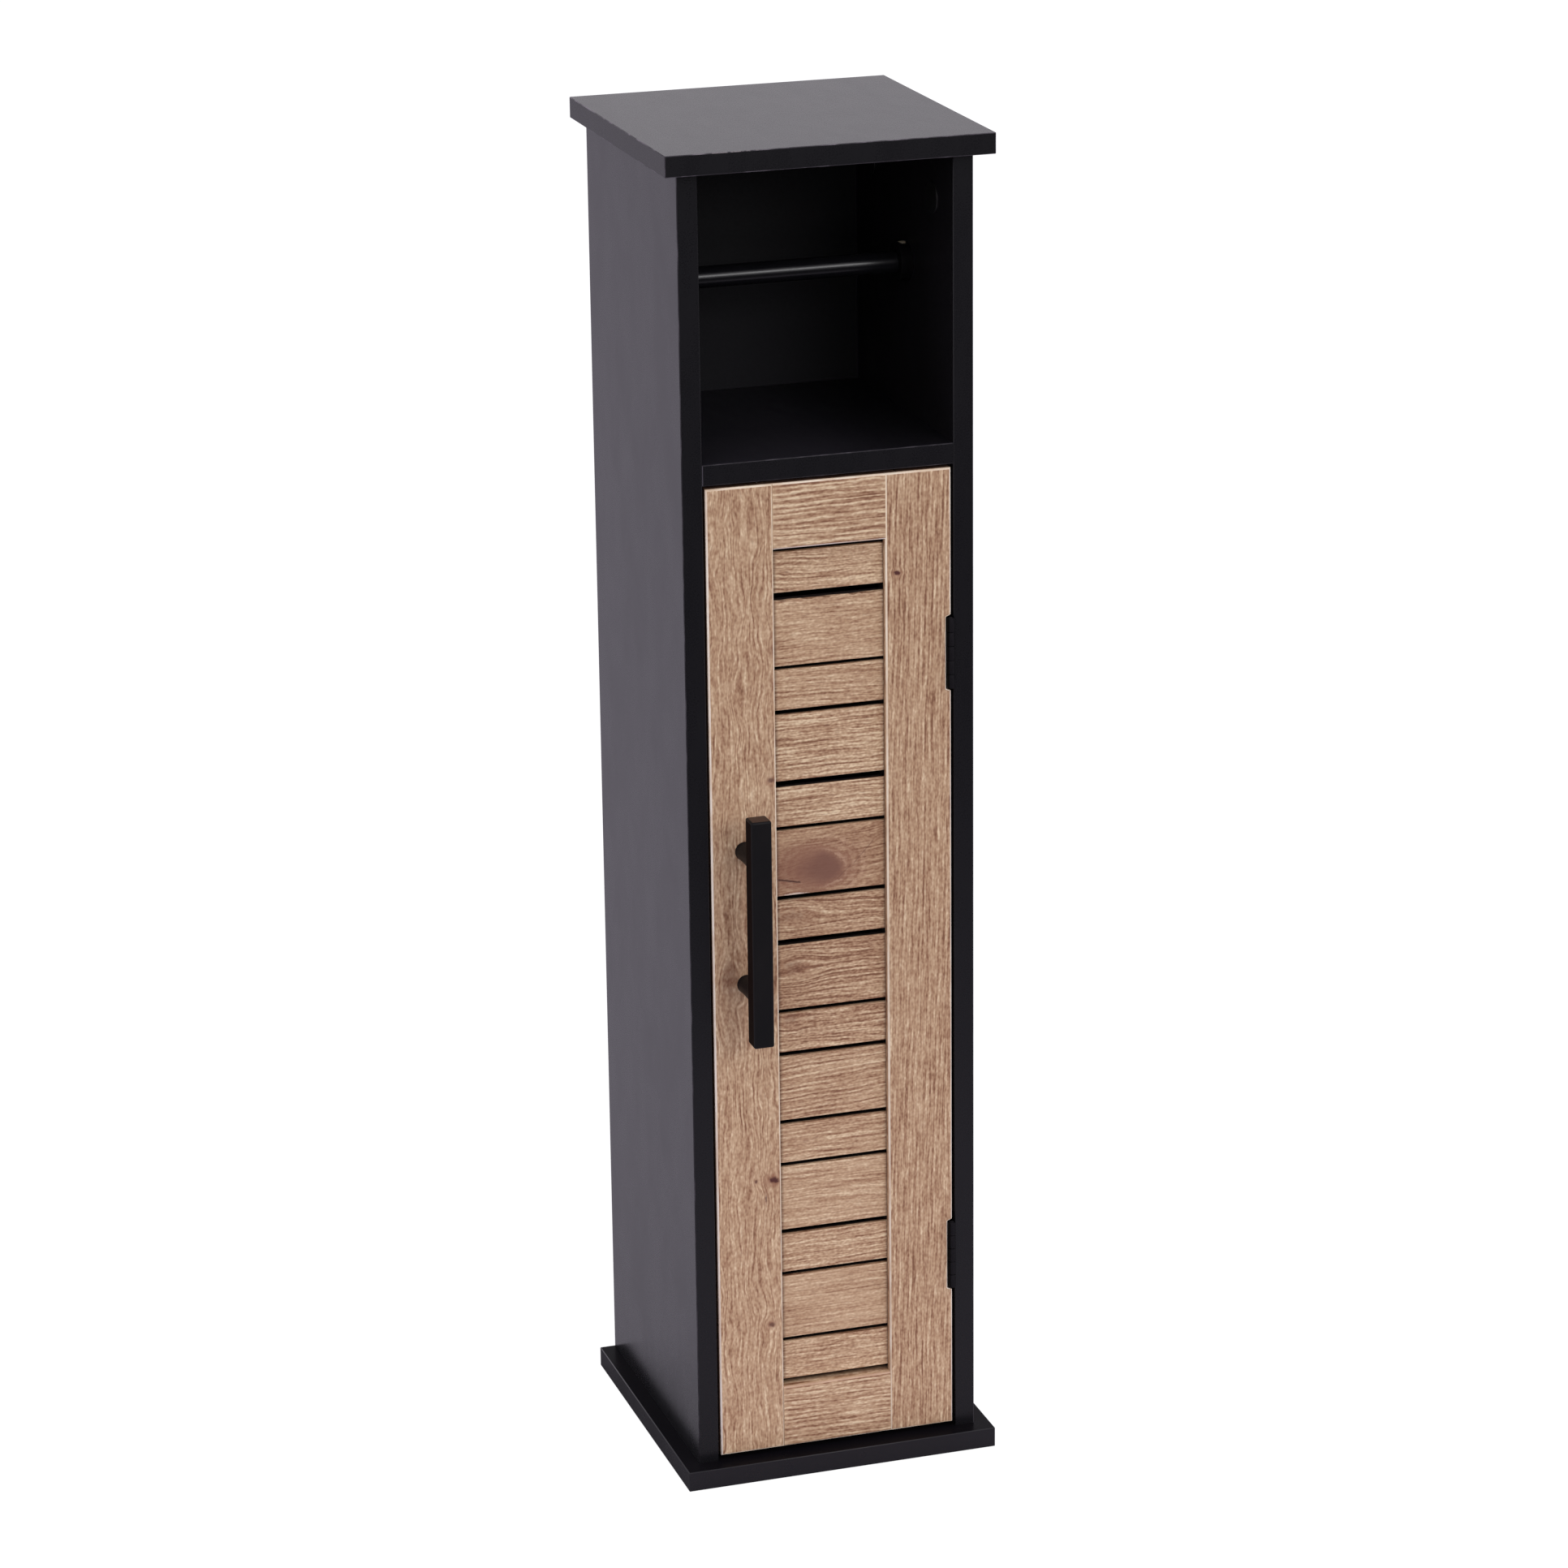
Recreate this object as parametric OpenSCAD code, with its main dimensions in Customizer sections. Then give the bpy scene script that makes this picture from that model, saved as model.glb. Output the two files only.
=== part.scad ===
// Toilet roll storage cabinet: a slim free-standing column of thin boards. An open niche at the top
// holds the roll in use on a sprung rod, and a slatted door below it closes the store of spare rolls.
// The origin is the centre of the base's underside, +Z is up, the door faces -Y and hinges at +X.

/* [Cabinet] */
// Height of the whole cabinet
cabinet_h = 790; // [740:5:860]
// Width of the top and base panels
plate_w = 190; // [184:1:220]
// Depth of the top and base panels
plate_d = 190; // [180:1:220]
// Thickness of the top and base panels
plate_t = 12; // [12:0.5:16]
// How far the top and base stand out past each side panel
side_overhang = 9.5; // [2:0.5:12]
// How far the top and base stand out past the front edges of the side panels
front_overhang = 11; // [2:0.5:20]
// Thickness of the side panels
side_t = 12; // [12:0.5:16]
// Thickness of the middle shelf
shelf_t = 12; // [12:0.5:16]
// Clear height of the open niche under the top
niche_h = 164; // [150:1:200]

/* [Back panel] */
// Thickness of the back panel
back_t = 3; // [2.5:0.5:5]
// Width of board left behind the back panel's groove
back_lip = 9; // [6:0.5:15]
// Depth of the groove in the side, top and base panels
back_groove = 5; // [3:0.5:6]

/* [Door] */
// Thickness of the door
door_t = 15; // [14:0.5:18]
// How far the door's face stands in front of the side panels' edges
door_proud = 0.5; // [0:0.1:1]
// Gap between the door and each side panel
door_gap_side = 1.5; // [1:0.1:3]
// Gap between the door and the middle shelf
door_gap_top = 2; // [1:0.1:4]
// Gap between the door and the base
door_gap_bottom = 3; // [1:0.1:5]
// Width of the two stiles
stile_w = 39; // [34:0.5:46]
// Width of the top and bottom rails
rail_w = 38; // [30:0.5:60]
// Radius of the eased front edges of the stiles and rails
ease_r = 1.5; // [0.5:0.1:2.5]
// Depth of the groove in the stiles' inner edges
stile_groove = 8; // [6:0.5:12]

/* [Slats] */
// Thickness of the slats
slat_t = 5; // [4:0.5:5.5]
// How far the slats' faces lie behind the door's face
slat_recess = 5; // [4:0.5:6]
// Height of a narrow slat
narrow_slat_h = 23.5; // [18:0.5:28]
// Open gap between two slats
slat_gap = 3; // [2:0.1:4]

/* [Hinges] */
// Height of a hinge
hinge_h = 41.5; // [36:0.5:50]
// Distance from each end of the door to the middle of its hinge
hinge_inset = 108; // [60:1:150]
// Outer diameter of a hinge's knuckles
knuckle_d = 4.3; // [3.8:0.1:5]
// Diameter of a hinge pin
hinge_pin_d = 2.2; // [1.5:0.1:2.4]
// Thickness of a hinge leaf
leaf_t = 1; // [0.8:0.1:1.2]
// Width of a hinge leaf from the pin's axis to its far edge
leaf_w = 15; // [13:0.5:15.5]
// How far the pin's axis lies in front of the side panels' edges
hinge_proud = 1.2; // [1:0.1:2]

/* [Handle] */
// Length of the handle bar
handle_h = 135; // [100:1:200]
// Thickness of the square handle bar
handle_bar = 12; // [8:0.5:16]
// Height of the bar's middle above the floor
handle_z = 347.5; // [200:0.5:500]
// Distance between the two handle posts
post_pitch = 80; // [64:1:96]
// Diameter of a handle post
post_d = 11; // [8:0.5:12]
// Clear space between the bar and the door's face
handle_reach = 21.5; // [18:0.5:30]

/* [Roll rod] */
// Diameter of the rod
rod_d = 12.5; // [11:0.5:16]
// Wall of the rod's tube
rod_wall = 1; // [0.8:0.1:1.5]
// Distance from the top panel's underside down to the rod's axis
rod_drop = 76; // [60:1:90]
// Distance from the side panels' front edges back to the rod's axis
rod_setback = 78; // [60:1:100]
// Outer diameter of the cups that hold the rod
cup_d = 23; // [20:0.5:30]
// Depth of the recess in a cup
cup_depth = 5; // [4:0.5:6]
// Thickness of a cup's floor
cup_floor = 2; // [2:0.5:4]
// Diameter of the sprung plunger at the rod's left end
plunger_d = 8.5; // [6:0.5:9]

/* [Fittings] */
// Diameter of a cam lock
cam_d = 15; // [12:1:15]
// Depth of a cam lock's pocket
cam_pocket = 9.5; // [9:0.1:10.5]
// Distance from a joint's face to the middle of a cam lock
cam_setback = 31; // [24:1:34]
// Diameter of a cam lock's cover cap
cap_d = 18.5; // [17:0.5:20]
// Distance from the side panels' front edges to the front row of fittings
front_row = 34; // [30:1:45]
// Distance from the back edges to the back row of fittings
back_row = 37; // [30:1:45]
// Diameter of a wooden dowel
dowel_d = 6; // [5:0.5:8]
// Diameter of the screws through the base
base_screw_d = 4; // [3:0.5:5]

/* [Magnetic catch] */
// Sideways place of the catch from the cabinet's middle
catch_x = -8; // [-10:1:10]
// Width of the catch's case without its ears
catch_w = 26; // [22:1:32]
// Depth of the catch's case
catch_d = 16; // [14:0.5:24]
// Height of the catch's case
catch_h = 13; // [12:0.5:18]

/* [Hidden] */

$fn = 48;
cut = 1;                  // how far a cutting solid runs past the face that it cuts
seat_fit = 0.1;           // clearance round a fixed piece in its hole
run_fit = 0.1;            // clearance round a piece that turns or slides
face_gap = 0.3;           // gap between two faces that move past each other

black = [0.13, 0.13, 0.14];
black_metal = [0.10, 0.10, 0.11];
oak = [0.78, 0.65, 0.54];
bright_metal = [0.75, 0.76, 0.78];
beech = [0.85, 0.73, 0.55];
grey_plastic = [0.35, 0.35, 0.37];

// Cabinet planes
body_w = plate_w - 2 * side_overhang;
body_x = body_w / 2;
inner_x = body_x - side_t;
back_y = plate_d / 2;
front_y = -plate_d / 2 + front_overhang;
mid_y = (front_y + back_y) / 2;
side_top_z = cabinet_h - plate_t;
shelf_top_z = side_top_z - niche_h;
shelf_z = shelf_top_z - shelf_t;
back_face_y = back_y - back_lip - back_t;

// Door planes
door_w = 2 * (inner_x - door_gap_side);
door_x = door_w / 2;
door_z = plate_t + door_gap_bottom;
door_top_z = shelf_z - door_gap_top;
door_h = door_top_z - door_z;
door_face_y = front_y - door_proud;
door_back_y = door_face_y + door_t;
opening_x = door_x - stile_w;
opening_z = door_z + rail_w;
opening_h = door_h - 2 * rail_w;

// Slats: narrow and wide ones take turns, and the first and last are narrow
narrow_count = 8;
wide_count = narrow_count - 1;
slat_count = narrow_count + wide_count;
wide_slat_h = (opening_h - narrow_count * narrow_slat_h - (slat_count + 1) * slat_gap) / wide_count;
slat_face_y = door_face_y + slat_recess;
end_play = 1;             // room between a slat's end and the bottom of its groove
tongue_t = slat_t - 2 * seat_fit;
// How far each slat has slipped down from its even place, from the top slat to the bottom one
slat_slip = [0, 1, 0.3, 0.3, 1, 0.6, 0.6, 1, 0.7, 0.7, 0.6, 0.4, 0.6, 0.3, 0];

// Hinges
knuckle_r = knuckle_d / 2;
hinge_x = inner_x - knuckle_r;
hinge_y = front_y - hinge_proud;
hinge_zs = [door_z + hinge_inset, door_top_z - hinge_inset];
knuckle_count = 5;
knuckle_pitch = hinge_h / knuckle_count;
notch_x = hinge_x - knuckle_r - face_gap;
notch_room = 2;           // room in the door's edge above and below a hinge
notch_h = hinge_h + 2 * notch_room;
notch_chamfer = 1.6;
hinge_screw_d = 2.5;
hinge_screw_head_d = 4.8;
hinge_screw_head_h = 1.4;
hinge_screw_l = 10;
hinge_screw_pitch = hinge_h * 0.56;
hinge_screw_y = hinge_y + leaf_w - hinge_screw_head_d / 2 - 2;

// Handle
handle_x = -(door_x - stile_w / 2);
bar_back_y = door_face_y - handle_reach;
post_zs = [handle_z - post_pitch / 2, handle_z + post_pitch / 2];
spigot_d = post_d * 0.55;
spigot_l = handle_bar * 0.35;
handle_screw_d = 4;
handle_screw_head_d = 7.5;
handle_screw_head_h = 2.6;
handle_screw_bite = handle_reach * 0.5;
bar_ease = handle_bar / 10;

// Roll rod, from its plunger at the left to its plug at the right
rod_y = front_y + rod_setback;
rod_z = side_top_z - rod_drop;
cup_floor_x = inner_x - cup_floor;
cup_mouth_x = cup_floor_x - cup_depth;
plunger_travel = cup_depth;
rod_bore_d = rod_d - 2 * rod_wall;
bush_head = 1.5;
tube_left_x = -(cup_mouth_x - plunger_travel - face_gap - bush_head);
plug_head = 2;
plug_l = 8;
tube_right_x = cup_floor_x - face_gap - plug_head;
bush_l = 8;
plunger_slack = 3;        // room before the plunger's collar meets the bush
collar_l = 3;
collar_x = tube_left_x + bush_l + plunger_slack;
spring_x = collar_x + collar_l;
spring_l = 30;
spring_turns = 9;
spring_wire_d = 1;
spring_d = rod_bore_d - 1;
seat_l = 6;
cup_screw_d = 3.5;
cup_screw_l = 10;
cup_screw_head_d = 6.5;

// Cam locks, bolts, dowels and base screws
row_ys = [front_y + front_row, back_y - back_row];
bolt_bite = 8.5;
bolt_thread_d = 5;
bolt_shank_d = 4.4;
bolt_neck_d = 3;
bolt_head_d = 5.6;
bolt_head_l = 2.6;
bolt_collar_d = 6.6;
bolt_collar_l = 2;
bolt_bore_d = 7;
cam_l = cam_pocket - 0.3;
cap_lip = 0.9;
cap_stem_d = 5;
cap_stem_l = 2;
dowel_l = 24;
dowel_bite = 8;
base_screw_l = 40;
base_screw_head_d = 8;
base_screw_head_h = 2.5;
base_screw_sunk = 0.5;

// Magnetic catch: the case hangs under the middle shelf and the strike is on the door's back
strike_t = 1.2;
strike_h = 11;
strike_w = catch_w + 8;
pole_t = 1.5;
pole_face_y = door_back_y + strike_t + face_gap;
case_face_y = pole_face_y + 0.5;
case_wall = 2;
ear_w = 8;
ear_t = 3;
magnet_w = catch_w - 2 * case_wall - 2 * seat_fit;
magnet_d = catch_d - case_wall - 2;
stack_h = catch_h - 2 * case_wall;
small_screw_d = 3;
small_screw_head_d = 5.6;
small_screw_head_h = 1.8;
small_screw_l = 9;

// ---------------------------------------------------------------- helpers

// A board between two corner points
module board(low, high) {
    translate(low) cube(high - low);
}

// A rod along +X, from its left end
module bar_x(d, l) {
    rotate([0, 90, 0]) cylinder(d = d, h = l);
}

// A rod along +Y, from its front end
module bar_y(d, l) {
    rotate([-90, 0, 0]) cylinder(d = d, h = l);
}

// A countersunk screw pointing up +Z, with its head's flat face at z = 0
module csk_screw(d, l, head_d, head_h) {
    cylinder(d1 = head_d, d2 = d, h = head_h);
    cylinder(d = d, h = l);
}

// The hole that a countersunk screw sits in
module csk_hole(d, l, head_d, head_h) {
    translate([0, 0, -cut]) cylinder(d = head_d + 2 * seat_fit, h = cut + 0.001);
    csk_screw(d + 2 * seat_fit, l + seat_fit, head_d + 2 * seat_fit, head_h);
}

// Half of an outline with two eased corners at y = 0: w wide along X and d deep along Y
module eased_section(w, d, r) {
    translate([0, r]) square([w, d - r]);
    translate([r, 0]) square([w - 2 * r, r + 0.001]);
    for (x = [r, w - r]) translate([x, r]) circle(r);
}

// An upright board whose two long front edges are eased
module eased_upright(w, d, h, r) {
    linear_extrude(h) eased_section(w, d, r);
}

// A level board whose two long front edges are eased
module eased_level(w, d, h, r) {
    translate([w, 0, 0]) rotate([0, -90, 0]) linear_extrude(w) eased_section(h, d, r);
}

// ---------------------------------------------------------------- fitting places

// Puts its children on both sides of the cabinet, the right one first
module both_sides() {
    children();
    mirror([1, 0, 0]) children();
}

// Puts a fitting made along +Z, with z = 0 at the top panel's underside, at each top joint
module at_top_joints() {
    both_sides() for (y = row_ys)
        translate([inner_x + side_t / 2, y, side_top_z]) children();
}

// Puts the same fitting at each shelf joint, with +Z turned outwards into the side panel
module at_shelf_joints() {
    both_sides() for (y = row_ys)
        translate([inner_x, y, shelf_z + shelf_t / 2]) rotate([0, 90, 0]) children();
}

// The bolt of a cam lock: its thread bites above z = 0 and its head hangs at the cam's middle
module cam_bolt() {
    cylinder(d = bolt_thread_d, h = bolt_bite);
    translate([0, 0, -bolt_collar_l]) cylinder(d = bolt_collar_d, h = bolt_collar_l);
    translate([0, 0, -cam_setback + cam_d / 2 + 1])
        cylinder(d = bolt_shank_d, h = cam_setback - cam_d / 2 - 1);
    translate([0, 0, -cam_setback]) cylinder(d = bolt_neck_d, h = cam_setback);
    translate([0, 0, -cam_setback - bolt_head_l / 2]) cylinder(d = bolt_head_d, h = bolt_head_l);
}

// The hole for the bolt's thread above z = 0
module bolt_thread_hole() {
    translate([0, 0, -cut]) cylinder(d = bolt_thread_d + 2 * seat_fit, h = bolt_bite + cut + seat_fit);
}

// The bore that the bolt passes below z = 0 on its way to the cam
module bolt_bore() {
    translate([0, 0, -cam_setback]) cylinder(d = bolt_bore_d, h = cam_setback + cut);
}

// A cam along +Z, with its face at z = 0 and its body below it. The bolt comes in along +X at
// bolt_depth, and the slot leads its neck round to the entry hole at +Y
module cam_lock(bolt_depth) {
    cavity_d = bolt_head_d + 1;
    neck_slot = bolt_neck_d + 0.6;
    slot_r = cavity_d / 2 - 0.4;
    neck_angle = asin(neck_slot / 2 / slot_r);
    difference() {
        translate([0, 0, -cam_l]) cylinder(d = cam_d, h = cam_l);
        translate([0, 0, -bolt_depth - cavity_d / 2]) cylinder(d = cavity_d, h = cavity_d);
        translate([0, 0, -bolt_depth]) rotate([0, 0, -neck_angle])
            rotate_extrude(angle = 90 + 2 * neck_angle)
                translate([slot_r, -neck_slot / 2]) square([cam_d / 2, neck_slot]);
        translate([0, 0, -bolt_depth]) rotate([-90, 0, 0]) cylinder(d = cavity_d, h = cam_d);
        translate([0, 0, -cap_stem_l - seat_fit])
            cylinder(d = cap_stem_d + 2 * seat_fit, h = cap_stem_l + cut);
    }
}

// Puts a fitting made with its face at z = 0, looking up +Z, and +X pointing to the joint,
// at each cam pocket: in the side panels' inner faces and in the shelf's underside
module at_cams() {
    both_sides() for (y = row_ys) {
        translate([inner_x, y, side_top_z - cam_setback]) rotate([0, -90, 0]) children();
        translate([inner_x - cam_setback, y, shelf_z]) rotate([180, 0, 0]) children();
    }
}

module cam_pocket_cut() {
    translate([0, 0, -cam_pocket]) cylinder(d = cam_d + 2 * seat_fit, h = cam_pocket + cut);
}

// Puts a dowel made along +Z, with z = 0 at the joint's face, at each joint
module at_dowels() {
    both_sides() {
        translate([inner_x + side_t / 2, mid_y, side_top_z]) children();
        translate([inner_x + side_t / 2, mid_y, plate_t]) rotate([180, 0, 0]) children();
        translate([inner_x, mid_y, shelf_z + shelf_t / 2]) rotate([0, 90, 0]) children();
    }
}

module dowel(clearance) {
    translate([0, 0, dowel_bite - dowel_l - clearance])
        cylinder(d = dowel_d + 2 * clearance, h = dowel_l + 2 * clearance);
}

// Puts a screw made along +Z, with its head at z = 0, at each screw through the base
module at_base_screws() {
    both_sides() for (y = row_ys)
        translate([inner_x + side_t / 2, y, base_screw_sunk]) children();
}

// Puts a screw made along +Z, with its head at z = 0, at the middle of each rod cup's floor
module at_cup_screws() {
    both_sides() translate([cup_floor_x, rod_y, rod_z]) rotate([0, 90, 0]) children();
}

// Puts a screw made along +Z, with its head at z = 0, at each hole of the hinges' frame leaves
module at_frame_leaf_screws() {
    for (z = hinge_zs, s = [-1, 1])
        translate([inner_x - leaf_t, hinge_screw_y, z + s * hinge_screw_pitch / 2])
            rotate([0, 90, 0]) children();
}

// The same for the door leaves
module at_door_leaf_screws() {
    for (z = hinge_zs, s = [-1, 1])
        translate([notch_x + leaf_t, hinge_screw_y, z + s * hinge_screw_pitch / 2])
            rotate([0, -90, 0]) children();
}

// The same for the catch's ears and for the strike plate
module at_catch_screws() {
    for (s = [-1, 1])
        translate([catch_x + s * (catch_w / 2 + ear_w / 2), case_face_y + catch_d / 2, shelf_z - ear_t])
            children();
}

module at_strike_screws() {
    for (s = [-1, 1])
        translate([catch_x + s * (strike_w / 2 - 5), door_back_y + strike_t, strike_z()])
            rotate([90, 0, 0]) children();
}

function strike_z() = shelf_z - catch_h / 2;

// Puts a screw made along +Z, with its head's seat at z = 0, at each handle post
module at_handle_screws() {
    for (z = post_zs)
        translate([handle_x, door_back_y, z]) rotate([90, 0, 0]) children();
}

// ---------------------------------------------------------------- cabinet

// The groove that the back panel stands in, cut into every board round it
module back_panel_groove() {
    half_w = inner_x + back_groove;
    board([-half_w, back_face_y - seat_fit, plate_t - back_groove],
          [half_w, back_face_y + back_t + seat_fit, side_top_z + back_groove]);
}

module top_panel() {
    color(black) difference() {
        board([-plate_w / 2, -plate_d / 2, side_top_z], [plate_w / 2, plate_d / 2, cabinet_h]);
        back_panel_groove();
        at_top_joints() bolt_thread_hole();
        at_dowels() dowel(seat_fit);
    }
}

module base_panel() {
    color(black) difference() {
        board([-plate_w / 2, -plate_d / 2, 0], [plate_w / 2, plate_d / 2, plate_t]);
        back_panel_groove();
        at_dowels() dowel(seat_fit);
        at_base_screws()
            csk_hole(base_screw_d, base_screw_l, base_screw_head_d, base_screw_head_h);
    }
}

module side_panel_blank(side) {
    inner = side * inner_x;
    outer = side * body_x;
    board([min(inner, outer), front_y, plate_t], [max(inner, outer), back_y, side_top_z]);
}

// The cuts that the two side panels share
module side_panel_cuts() {
    back_panel_groove();
    at_cams() cam_pocket_cut();
    at_top_joints() bolt_bore();
    at_shelf_joints() bolt_thread_hole();
    at_dowels() dowel(seat_fit);
    at_base_screws() csk_hole(base_screw_d, base_screw_l, base_screw_head_d, base_screw_head_h);
    at_cup_screws() csk_hole(cup_screw_d, cup_screw_l, cup_screw_head_d, cup_floor);
}

module left_side_panel() {
    color(black) difference() {
        side_panel_blank(-1);
        side_panel_cuts();
    }
}

module right_side_panel() {
    color(black) difference() {
        side_panel_blank(1);
        side_panel_cuts();
        at_frame_leaf_screws()
            csk_hole(hinge_screw_d, hinge_screw_l, hinge_screw_head_d, hinge_screw_head_h);
    }
}

module middle_shelf() {
    color(black) difference() {
        board([-inner_x, front_y, shelf_z], [inner_x, back_face_y, shelf_top_z]);
        at_cams() cam_pocket_cut();
        at_shelf_joints() bolt_bore();
        at_dowels() dowel(seat_fit);
        at_catch_screws()
            csk_hole(small_screw_d, small_screw_l, small_screw_head_d, small_screw_head_h);
    }
}

module back_panel() {
    half_w = inner_x + back_groove - face_gap;
    color(black)
        board([-half_w, back_face_y, plate_t - back_groove + face_gap],
              [half_w, back_face_y + back_t, side_top_z + back_groove - face_gap]);
}

// ---------------------------------------------------------------- knock-down fittings

module cam_locks() {
    color(bright_metal) both_sides() for (y = row_ys) {
        translate([inner_x, y, side_top_z - cam_setback]) rotate([0, -90, 0])
            translate([0, 0, -0.2]) cam_lock(side_t / 2 - 0.2);
        translate([inner_x - cam_setback, y, shelf_z]) rotate([180, 0, 0])
            translate([0, 0, -0.2]) cam_lock(shelf_t / 2 - 0.2);
    }
}

module cam_bolts() {
    color(bright_metal) {
        at_top_joints() cam_bolt();
        at_shelf_joints() cam_bolt();
    }
}

module cam_cover_caps() {
    color(black) at_cams() {
        cylinder(d = cap_d, h = cap_lip);
        translate([0, 0, -cap_stem_l]) cylinder(d = cap_stem_d, h = cap_stem_l + 0.001);
    }
}

module wood_dowels() {
    color(beech) at_dowels() dowel(0);
}

module base_screws() {
    color(bright_metal) at_base_screws()
        csk_screw(base_screw_d, base_screw_l, base_screw_head_d, base_screw_head_h);
}

// ---------------------------------------------------------------- rod cups

// A cup on the right panel whose recess holds a round end of the given diameter
module rod_cup(end_d) {
    difference() {
        translate([cup_mouth_x, rod_y, rod_z]) bar_x(cup_d, cup_depth + cup_floor);
        translate([cup_mouth_x - cut, rod_y, rod_z]) bar_x(end_d + 2 * run_fit, cup_depth + cut);
        at_cup_screws() csk_hole(cup_screw_d, cup_screw_l, cup_screw_head_d, cup_floor);
    }
}

module left_rod_cup() {
    color(black_metal) mirror([1, 0, 0]) rod_cup(plunger_d);
}

module right_rod_cup() {
    color(black_metal) rod_cup(rod_d);
}

module rod_cup_screws() {
    color(bright_metal) at_cup_screws()
        csk_screw(cup_screw_d, cup_screw_l, cup_screw_head_d, cup_floor);
}

// ---------------------------------------------------------------- magnetic catch

module magnet_catch_case() {
    case_x = catch_x - catch_w / 2;
    color(grey_plastic) difference() {
        union() {
            board([case_x, case_face_y, shelf_z - catch_h],
                  [case_x + catch_w, case_face_y + catch_d, shelf_z]);
            board([case_x - ear_w, case_face_y + case_wall, shelf_z - ear_t],
                  [case_x + catch_w + ear_w, case_face_y + catch_d - case_wall, shelf_z]);
        }
        board([case_x + case_wall, case_face_y - cut, shelf_z - catch_h + case_wall],
              [case_x + catch_w - case_wall, case_face_y + catch_d - case_wall, shelf_z - case_wall]);
        at_catch_screws()
            csk_hole(small_screw_d, small_screw_l, small_screw_head_d, small_screw_head_h);
    }
}

// A block inside the case: it starts at face_y and fills the height from low_z to high_z
module catch_block(face_y, low_z, high_z) {
    board([catch_x - magnet_w / 2, face_y, low_z],
          [catch_x + magnet_w / 2, case_face_y + magnet_d, high_z]);
}

module catch_magnet() {
    color([0.22, 0.20, 0.20]) catch_block(case_face_y + 1,
        strike_z() - stack_h / 2 + pole_t, strike_z() + stack_h / 2 - pole_t);
}

module catch_pole_plates() {
    color(bright_metal) {
        catch_block(pole_face_y, strike_z() - stack_h / 2, strike_z() - stack_h / 2 + pole_t);
        catch_block(pole_face_y, strike_z() + stack_h / 2 - pole_t, strike_z() + stack_h / 2);
    }
}

module catch_screws() {
    color(bright_metal) at_catch_screws()
        csk_screw(small_screw_d, small_screw_l, small_screw_head_d, small_screw_head_h);
}

// ---------------------------------------------------------------- hinges

// The knuckles whose numbers are given, counted from the hinge's lower end
module knuckles(z, numbers) {
    for (k = numbers)
        translate([hinge_x, hinge_y, z - hinge_h / 2 + k * knuckle_pitch + face_gap / 2])
            cylinder(d = knuckle_d, h = knuckle_pitch - face_gap);
}

// The room that the other leaf's knuckles need, which a leaf is cut back for
module knuckle_room(z, numbers) {
    for (k = numbers)
        translate([hinge_x - knuckle_d, hinge_y - knuckle_d,
                   z - hinge_h / 2 + k * knuckle_pitch - face_gap / 2])
            cube([2 * knuckle_d, knuckle_d + knuckle_r + face_gap, knuckle_pitch + face_gap]);
}

frame_knuckles = [0, 2, 4];
door_knuckles = [1, 3];

// A leaf whose flat side starts at low_x, with its own knuckles, cut back for the other leaf's
module leaf(z, low_x, own, other) {
    difference() {
        union() {
            difference() {
                board([low_x, hinge_y, z - hinge_h / 2 + face_gap / 2],
                      [low_x + leaf_t, hinge_y + leaf_w, z + hinge_h / 2 - face_gap / 2]);
                knuckle_room(z, other);
            }
            knuckles(z, own);
        }
        translate([hinge_x, hinge_y, z - hinge_h / 2 - cut])
            cylinder(d = hinge_pin_d + run_fit, h = hinge_h + 2 * cut);
    }
}

module hinge_frame_leaf(z) {
    color(black_metal) difference() {
        leaf(z, inner_x - leaf_t, frame_knuckles, door_knuckles);
        at_frame_leaf_screws()
            csk_hole(hinge_screw_d, hinge_screw_l, hinge_screw_head_d, hinge_screw_head_h);
    }
}

module hinge_door_leaf(z) {
    color(black_metal) difference() {
        leaf(z, notch_x, door_knuckles, frame_knuckles);
        at_door_leaf_screws()
            csk_hole(hinge_screw_d, hinge_screw_l, hinge_screw_head_d, hinge_screw_head_h);
    }
}

module hinge_pin(z) {
    color(black_metal) translate([hinge_x, hinge_y, z - hinge_h / 2])
        cylinder(d = hinge_pin_d, h = hinge_h);
}

module lower_hinge_frame_leaf() { hinge_frame_leaf(hinge_zs[0]); }
module upper_hinge_frame_leaf() { hinge_frame_leaf(hinge_zs[1]); }
module lower_hinge_door_leaf() { hinge_door_leaf(hinge_zs[0]); }
module upper_hinge_door_leaf() { hinge_door_leaf(hinge_zs[1]); }
module lower_hinge_pin() { hinge_pin(hinge_zs[0]); }
module upper_hinge_pin() { hinge_pin(hinge_zs[1]); }

module hinge_frame_screws() {
    color(black_metal) at_frame_leaf_screws()
        csk_screw(hinge_screw_d, hinge_screw_l, hinge_screw_head_d, hinge_screw_head_h);
}

module hinge_door_screws() {
    color(black_metal) at_door_leaf_screws()
        csk_screw(hinge_screw_d, hinge_screw_l, hinge_screw_head_d, hinge_screw_head_h);
}

// ---------------------------------------------------------------- door

// The notch that a hinge sits in, cut through the door's edge with chamfered corners
module hinge_notch(z) {
    depth = door_x - notch_x;
    translate([notch_x, door_face_y - cut, z]) rotate([-90, 0, 0]) linear_extrude(door_t + 2 * cut)
        polygon([[0, -notch_h / 2 + notch_chamfer], [depth, -notch_h / 2],
                 [depth + cut, -notch_h / 2], [depth + cut, notch_h / 2],
                 [depth, notch_h / 2], [0, notch_h / 2 - notch_chamfer]]);
}

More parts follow.
